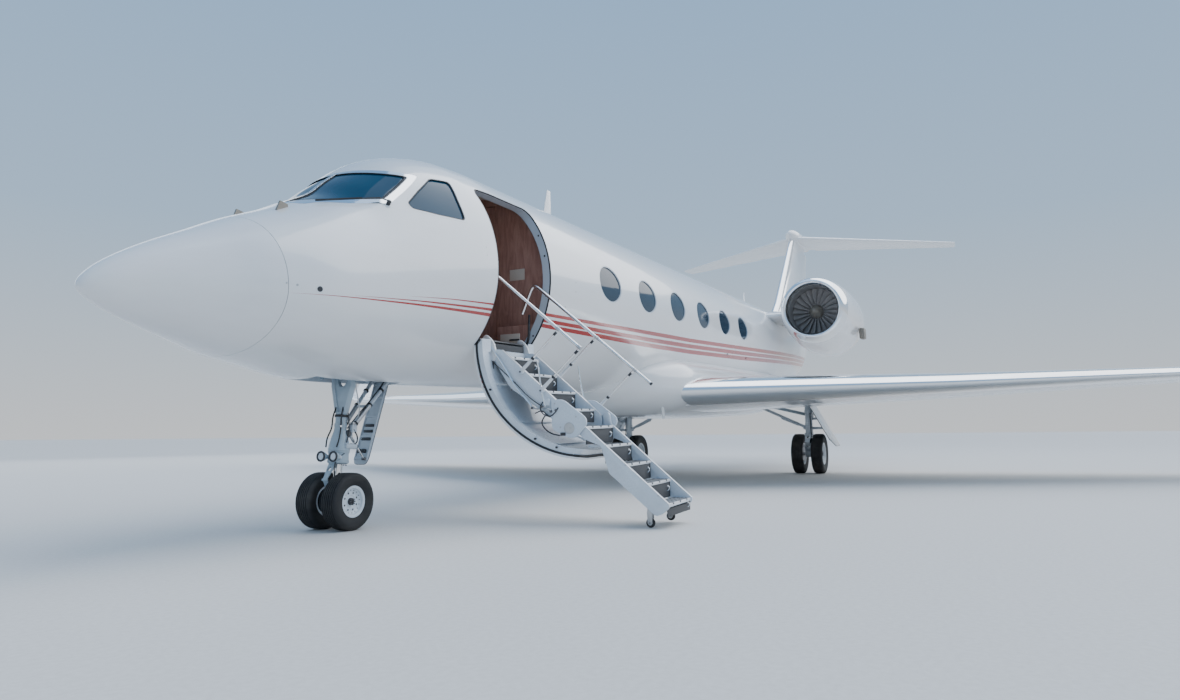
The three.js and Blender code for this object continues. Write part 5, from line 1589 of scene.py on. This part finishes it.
door_skin = skin_patch("door_skin", [door_cutter(-8)], *DOOR_SPAN, 0, 20, 30)
paint_where(paint(door_skin, DOOR_PAINT, PAINT), 1, lambda face: abs(face.normal.x) > 0.7)
door_seal = skin_patch("door_seal", [door_cutter(-15)], *DOOR_SPAN, 19, 42, 30)
door_rim = skin_frame("door_rim", [door_cutter], -118, -22, *DOOR_SPAN, 41, 98, 30)
combine(door_rim, [block("cutter", (STAIR_X - 366, 500, 1990), (STAIR_X + 366, OUTSIDE, 2190))])
door_pan = skin_patch("door_pan", [door_cutter(-90)], *DOOR_SPAN, 66, 80, 30)
rib_cutters = [block("cutter", (ahead(4290), 500, z), (ahead(3475), OUTSIDE, z + 26))
               for z in (2420, 2900, 3300)]
door_ribs = skin_patch("door_ribs", rib_cutters, *DOOR_SPAN, 66, 94, 60)
closed_pieces = [door_skin, paint(door_seal, SEAL)] + painted(STAIR_PAINT_AND_SKYLIGHT, door_rim, door_pan, door_ribs)
for piece in closed_pieces:
    piece.data.transform(OPENED)
pins = []
for station, way in ((3385, -1), (4380, 1)):
    for y, z in ((1064, 1573), (1572, 1086), (1804, 1005)):
        latch = rod("latch", (ahead(station), y, z), (ahead(station) - way * 19, y, z), 11, sides=16)
        pins += painted(DARK, latch)
for station in (3450, 3640, 4160, 4350):
    bolt = rod("bolt", (ahead(station), 1260, 1560), (ahead(station), 1268, 1572), 9, sides=6)
    pins += painted(STEEL, bolt)
HINGE_FRONT, HINGE_BACK = 3385, 4380
KNUCKLE_PITCH = 77.5
hinge = plate("hinge", [(820, 2033.6), (880, 2033.6), (950, 2078), (935, 2095), (870, 2060), (820, 2060)],
              ahead(HINGE_BACK), ahead(HINGE_FRONT), "X", 2)
knuckles = []
for index in range(13):
    start = ahead(HINGE_BACK) + index * KNUCKLE_PITCH
    knuckles += painted(BARE, rod("knuckle", (start, 912, 2070), (start + 60, 912, 2070), 17, sides=16))
door = join("airstair_door", closed_pieces + pins + [paint(hinge, STEEL)] + knuckles)
mount(smooth(door, 30), stands_for="cabin_door")

# Upper flight: cheeks with white flanges, light treads with white nosings, charcoal risers
UPPER_CHEEK = [(960, 1990), (1075, 1982), (1884, 1293), (1884, 1112), (1562, 1332), (1180, 1590),
               (1060, 1760), (990, 1880)]
HORN = [(850, 2112), (870, 2140), (900, 2146), (950, 2110), (994, 2050), (1016, 1960), (1010, 1890),
        (960, 1850), (900, 1850), (868, 1950)]
KNUCKLE_PLATE = [(1662, 1461), (1790, 1459), (2034, 1280), (2044, 1215), (1926, 1088), (1843, 1088),
                 (1662, 1170)]


def on_cheeks(name, outline, inner, outer, material, round_edge=3):
    """The same plate on both sides of the flight."""
    pieces = []
    for side in BOTH_SIDES:
        ends = sorted((STAIR_X + side * inner, STAIR_X + side * outer))
        pieces += painted(material, plate(name, outline, ends[0], ends[1], "X", round_edge))
    return pieces


def flange(name, start, end, inner, outer, thick):
    """A white strip along the top edge of each cheek."""
    run = (Vector(end) - Vector(start)).normalized()
    up = Vector((-run.y, run.x)) * thick
    if up.y < 0:
        up = -up
    outline = [start, end, tuple(Vector(end) + up), tuple(Vector(start) + up)]
    return on_cheeks(name, outline, inner, outer, PAINT, 2)


def step_pieces(nosings, half, deep, last_drop):
    """Treads, white nosings with painted shade for their notches, risers under them and a small hook on each.
    """
    pieces = []
    for index, (y, z) in enumerate(nosings):
        low, high = STAIR_X - half, STAIR_X + half
        pieces += painted(LIGHT_GREY, block("tread", (low, y - deep, z - 24), (high, y - 22, z - 1), 3))
        pieces += painted(PAINT, block("nosing", (low, y - 26, z - 28), (high, y, z), 5))
        # Each notch is a dark block on the nosing: painted shade of the notch's hollow.
        for share in (0.2, 0.5, 0.8):
            at = low + (high - low) * share
            pieces += painted(DARK, block("notch", (at - 14, y - 20, z - 16), (at + 14, y + 1.5, z + 1.5),
                                          2))
        for line in range(4):
            across = y - deep + 30 + line * (deep - 80) / 3
            pieces += painted(TREAD, block("grip", (low + 20, across, z - 2),
                                           (high - 20, across + 22, z + 1), 1))
        drop = nosings[index + 1][1] + 3 if index + 1 < len(nosings) else z - last_drop
        pieces += painted(TREAD, block("riser", (low, y - 20, drop), (high, y - 10, z - 22), 2))
        middle = (drop + z) / 2
        hook_at = low + 70
        pieces += painted(CHROME, tube("hook", [(hook_at, y - 8, middle + 24), (hook_at, y + 6, middle + 6),
                                                (hook_at + 6, y + 2, middle - 14),
                                                (hook_at + 14, y - 8, middle - 26)], 4))
        pieces += painted(BARE, block("hook_base", (hook_at - 14, y - 12, middle + 8),
                                      (hook_at + 14, y - 6, middle + 30), 2))
    return pieces


upper = on_cheeks("cheek", rounded(UPPER_CHEEK, 30), 306, 334, STAIR_PAINT_AND_SKYLIGHT)
upper += on_cheeks("horn", rounded(HORN, 26), 318, 346, PAINT, 8)
upper += on_cheeks("knuckle_plate", rounded(KNUCKLE_PLATE, 46), 338.5, 361, STAIR_PAINT_AND_SKYLIGHT, 6)
upper += on_cheeks("packing", [(1682, 1252), (1868, 1154), (1868, 1276), (1682, 1416)], 330, 345,
                   STAIR_PAINT_AND_SKYLIGHT, 2)
upper += flange("flange", (1078, 1978), (1880, 1296), 301, 336, 6)
upper += step_pieces(UPPER_NOSINGS, 304, 240, 140)
upper += painted(TREAD, block("sill_riser", (STAIR_X - 304, 940, 1890), (STAIR_X + 304, 952, 2058), 3))
for side in BOTH_SIDES:
    at = Vector((STAIR_X + side * 361, 1856, 1180))
    disc = lathe("disc", [(0, 0), (0, 56), (5, 56), (7, 52), (7, 42), (4, 40), (4, 14), (9, 12), (9, 0)],
                 at, (side, 0, 0), 40)
    upper += painted(BARE if side > 0 else DARK, disc)
    for turn in range(6) if side < 0 else ():
        angle = math.pi * turn / 6
        reach = Vector((0, math.cos(angle), math.sin(angle))) * 40
        out = Vector((side * 6, 0, 0))
        upper += painted(STEEL, rod("spoke", at + out - reach, at + out + reach, 3, sides=8))
    for y, z in ((1700, 1420), (1930, 1290), (1760, 1190)):
        head = Vector((STAIR_X + side * 361, y, z))
        upper += painted(BARE, rod("bolt", head, head + Vector((side * 5, 0, 0)), 8, sides=6, round_end=1))


def beside(side, out, *points):
    """Points beside the flight: how far out from its middle, then distance to port and height."""
    return [(STAIR_X + side * (point[2] if len(point) > 2 else out), point[0], point[1])
            for point in points]


upper += painted(CHROME, tube("stay", beside(1, 356, (905, 2092), (1040, 1912), (1150, 1760), (1254, 1600),
                                             (1420, 1420), (1450, 1380)), 9, 12))
upper += painted(DARK, tube("cable", beside(1, 352, (960, 1880), (1243, 1640), (1420, 1480), (1560, 1392)),
                            5, 12))
upper += painted(CHROME,
                 tube("stay", beside(1, 366, (1513, 1845), (1530, 1740), (1550, 1600), (1600, 1395)), 8,
                      12),
                 tube("stay", beside(-1, 366, (1590, 1826), (1612, 1655), (1650, 1470)), 8, 12))
upper += painted(BARE, tube("linkage", beside(1, 366, (1450, 1384), (1520, 1372), (1590, 1386),
                                              (1660, 1352)), 8, 12))
upper += painted(DARK,
                 tube("linkage", beside(1, 364, (1480, 1330), (1560, 1350), (1640, 1300), (1700, 1330),
                                        (1740, 1380)), 6, 12),
                 tube("hose", beside(1, 352, (1600, 1310, 370), (1560, 1240, 368), (1590, 1180, 366),
                                     (1660, 1130, 352), (1740, 1110, 340)), 7, 12),
                 tube("hose", beside(1, 350, (1560, 1440), (1545, 1380, 372), (1580, 1320, 374),
                                     (1650, 1290, 366)), 6, 12))
for y, z in ((1450, 1384), (1560, 1392), (1600, 1310), (1660, 1345), (1715, 1355)):
    upper += painted(STEEL, rod("joint", (STAIR_X + 340, y, z), (STAIR_X + 378, y, z), 13, sides=16,
                                round_end=3))
upper += painted(DARK, block("catch", (STAIR_X + 330, 1760, 1108), (STAIR_X + 372, 1815, 1140), 5))
upper += painted(STAIR_PAINT_AND_SKYLIGHT, block("lug", (STAIR_X + 336, 1575, 1402), (STAIR_X + 366, 1640, 1470), 8))
upper += painted(STEEL, block("catch", (STAIR_X + 338, 950, 1790), (STAIR_X + 356, 990, 1870), 5))
mount(smooth(join("airstair_upper", upper), 30), stands_for="stair_upper")

# Lower flight, which folds on the knuckle
LOWER_CHEEK = [(1903, 1305), (1922, 1327), (1958, 1327), (1977, 1305), (1990, 1206), (2845, 477),
               (2836, 446), (2775, 394), (2712, 373), (2252, 754), (2172, 1008), (1990, 1076), (1903, 1160)]
lower = on_cheeks("cheek", rounded(LOWER_CHEEK, 22), 299, 327, STAIR_PAINT_AND_SKYLIGHT)
lower += flange("flange", (1994, 1203), (2842, 481), 297, 329, 5)
lower += step_pieces(LOWER_NOSINGS, 302, 196, 118)
for side in BOTH_SIDES:
    boss = Vector((STAIR_X + side * 316, 1940, 1290))
    lower += painted(STEEL, rod("boss", boss, boss + Vector((side * 21.4, 0, 0)), 27, sides=24))
    for y, z in ((2120, 1080), (2420, 830), (2740, 560)):
        head = Vector((STAIR_X + side * 326, y, z))
        lower += painted(BARE, rod("bolt", head, head + Vector((side * 4, 0, 0)), 7, sides=6, round_end=1))
    low = STAIR_X + side * 260
    roller = lathe("roller", [(1, 0), (1, 30), (3, 40), (8, 44), (22, 44), (27, 40), (29, 30), (29, 0)],
                   (low, 2640, 308), (1, 0, 0), 32)
    hub = lathe("roller_hub", [(-1, 0), (-1, 22), (2, 24), (28, 24), (31, 22), (31, 0)], (low, 2640, 308),
                (1, 0, 0), 24)
    lower += [paint(roller, RUBBER), paint(hub, BARE)]
    for cheek in (-7, 33):
        outline = [(2618, 300), (2634, 292), (2646, 292), (2662, 300), (2668, 400), (2660, 446),
                   (2620, 446), (2612, 400)]
        lower += painted(BARE, plate("fork", rounded(outline, 10), low + cheek, low + cheek + 4, "X", 1))
    lower += painted(BARE, block("fork_top", (low - 7, 2616, 425), (low + 37, 2664, 440), 4))
    lower += painted(STEEL,
                     rod("stem", (low + 15, 2640, 434), (low + 15, 2640, 470), 15, sides=20),
                     rod("pivot", (low - 10, 2640, 308), (low + 40, 2640, 308), 7, sides=12))
lower += painted(STAIR_PAINT_AND_SKYLIGHT,
                 block("beam", (STAIR_X - 302, 2602, 456), (STAIR_X + 302, 2698, 474), 4),
                 block("end_plate", (STAIR_X - 302, 2812, 440), (STAIR_X + 302, 2822, 466), 3),
                 plate("end_plate", [(2832, 462), (2842, 462), (2722, 392), (2712, 392)], STAIR_X - 302,
                       STAIR_X + 302, "X", 1))
mount(smooth(join("airstair_lower", lower), 30), "lower_stair", "stair_lower")

# Handrails: chrome tubes on sloping posts with white sleeves at their feet
RAIL_SLOPE = -0.842


def rail_height(y):
    return 2750 + RAIL_SLOPE * (y - 1050)


for name, side, end, feet in (("front", 1, 2010, ((1325, 335.5), (1555, 335.5))),
                              ("back", -1, 2410, ((1355, 335.5), (1785, 362.5)))):
    path = [(880, 2440), (925, 2538), (975, 2650), (1008, 2712), (1032, 2736), (1064, 2732),
            (1110, rail_height(1110)), (1180, rail_height(1180)),
            ((1180 + end) / 2, rail_height((1180 + end) / 2)), (end, rail_height(end))]
    parts = [paint(tube("rail", beside(side, 400, *path), 16, 20), CHROME)]
    tip = Vector(beside(side, 400, path[-1])[0])
    parts += painted(DARK, rod("rail_end", tip - Vector((0, 14, -12)), tip + Vector((0, 3, -2.5)), 17.5,
                               sides=20, round_end=4))
    for y, inner in feet:
        top_y = y + 445
        base = Vector((STAIR_X + side * 374, y, rail_height(top_y) - 400))
        top = Vector((STAIR_X + side * 374, top_y, rail_height(top_y)))
        parts += painted(CHROME, rod("post", base, top, 10, sides=20))
        parts += painted(PAINT, rod("sleeve", base.lerp(top, 0.03), base.lerp(top, 0.3), 20, 15, 24, 4))
        parts += painted(DARK,
                         rod("collar", base.lerp(top, 0.3), base.lerp(top, 0.34), 17, sides=24),
                         rod("collar", base.lerp(top, 0.86), base.lerp(top, 0.93), 14, sides=24))
        foot = rod("foot", (STAIR_X + side * inner, base.y, base.z), (STAIR_X + side * 386, base.y, base.z),
                   24, sides=28, round_end=5)
        parts += painted(STAIR_PAINT_AND_SKYLIGHT, foot)
        parts += painted(STEEL, rod("foot_bolt", (STAIR_X + side * 384, base.y, base.z),
                                    (STAIR_X + side * 392, base.y, base.z), 11, sides=6, round_end=2))
        parts += painted(BARE, rod("clamp", (STAIR_X + side * 364, top.y, top.z),
                                   (STAIR_X + side * 402, top.y, top.z), 13, sides=24))
        along = Vector((0, 1, RAIL_SLOPE)).normalized() * 24
        at = Vector((STAIR_X + side * 400, top.y, top.z))
        parts += painted(BARE, rod("clamp", at - along, at + along, 19, sides=24, round_end=3))
    mount(smooth(join("handrail_tubes_" + name, parts), 35), stands_for="handrail_" + name)


# Small fittings on the skin

def skin_place(station, z, side=1):
    """A point on the skin and the way the skin faces there, in millimetres."""
    slope = (hull_side(station + 25, z) - hull_side(station - 25, z)) / 50
    rise = (hull_side(station, z + 25) - hull_side(station, z - 25)) / 50
    way = Vector((slope, side, -rise)).normalized()
    return Vector((ahead(station), side * hull_side(station, z), z)), way


def stud(station, z, side, radius, high, material, sides=20):
    at, way = skin_place(station, z, side)
    return paint(rod("stud", at - way * 6, at + way * high, radius, sides=sides,
                     round_end=min(1, high / 2)), material)


front_blade = side_plate("blade", [(6290, 4020), (6560, 4020), (6545, 4525), (6530, 4535), (6450, 4535)],
                         -11, 11, 6)
mast = side_plate("mast", [(8420, 1470), (8545, 1470), (8530, 1226), (8470, 1226)], 888, 912, 6)
rear_blade = side_plate("blade", [(16640, 4010), (16860, 4010), (16840, 4420), (16780, 4420)], -9, 9, 5)
fittings = painted(PAINT, front_blade, mast, rear_blade)
for side in BOTH_SIDES:
    fittings.append(stud(1337, 2318, side, 22, 2.5, DARK))
    fittings.append(stud(1180, 2336, side, 9, 2.5, BARE))
    fittings.append(stud(1110, 2345, side, 7, 2.5, BARE))
    for station, z in ((3190, 2960), (3190, 2880), (5010, 2870), (5010, 2760), (4800, 2560)):
        fittings.append(stud(station, z, side, 8, 2, BARE))
    probe = arm("probe", (ahead(1485), side * 258, 3040), (ahead(1502), side * 262, 3128), (26, 120),
                (18, 84))
    fittings += painted(SPINNER, probe)
    # Wiper: its spindle, arm and blade along the foot of the windscreen
    foot = Vector((ahead(2204), side * 790, 3212))
    elbow = Vector((ahead(2150), side * 728, 3262))
    tip = Vector((ahead(1775), side * 452, 3192))
    fittings += painted(DARK,
                        rod("spindle", foot - Vector((0, side * 30, 30)), foot + Vector((6, side * 12, 26)),
                            20),
                        arm("wiper_arm", foot + Vector((6, side * 10, 22)), elbow, (20, 16), (14, 12)),
                        arm("wiper_arm", elbow, tip, (14, 12), (9, 9)))
    blade_at = tip.lerp(elbow, 0.25)
    fittings += painted(SEAL, arm("wiper_blade", blade_at - Vector((150, side * -120, -28)),
                                  blade_at + Vector((150, side * -120, -28)), (10, 22), (10, 22)))
    near, far = sorted((side * 2830, side * 2956))
    fittings += painted(SPINNER, block("scoop", (ENGINE_AT[0] - 2330, near, 3040),
                                       (ENGINE_AT[0] - 1990, far, 3310), 34))
    fittings += [stud(11380, 2420, side, 26, 3, DARK), stud(12690, 2420, side, 26, 3, DARK)]
for station, z in ((4403, 3330), (4403, 3090), (4403, 2640), (4403, 2420), (4403, 2200)):
    at = Vector((ahead(station), hull_side(station, z) - 48, z))
    fittings += painted(DARK, rod("fastener", at, at + Vector((7, 0, 0)), 11, sides=12, round_end=1))
mount(smooth(join("skin_fittings", fittings), 30))
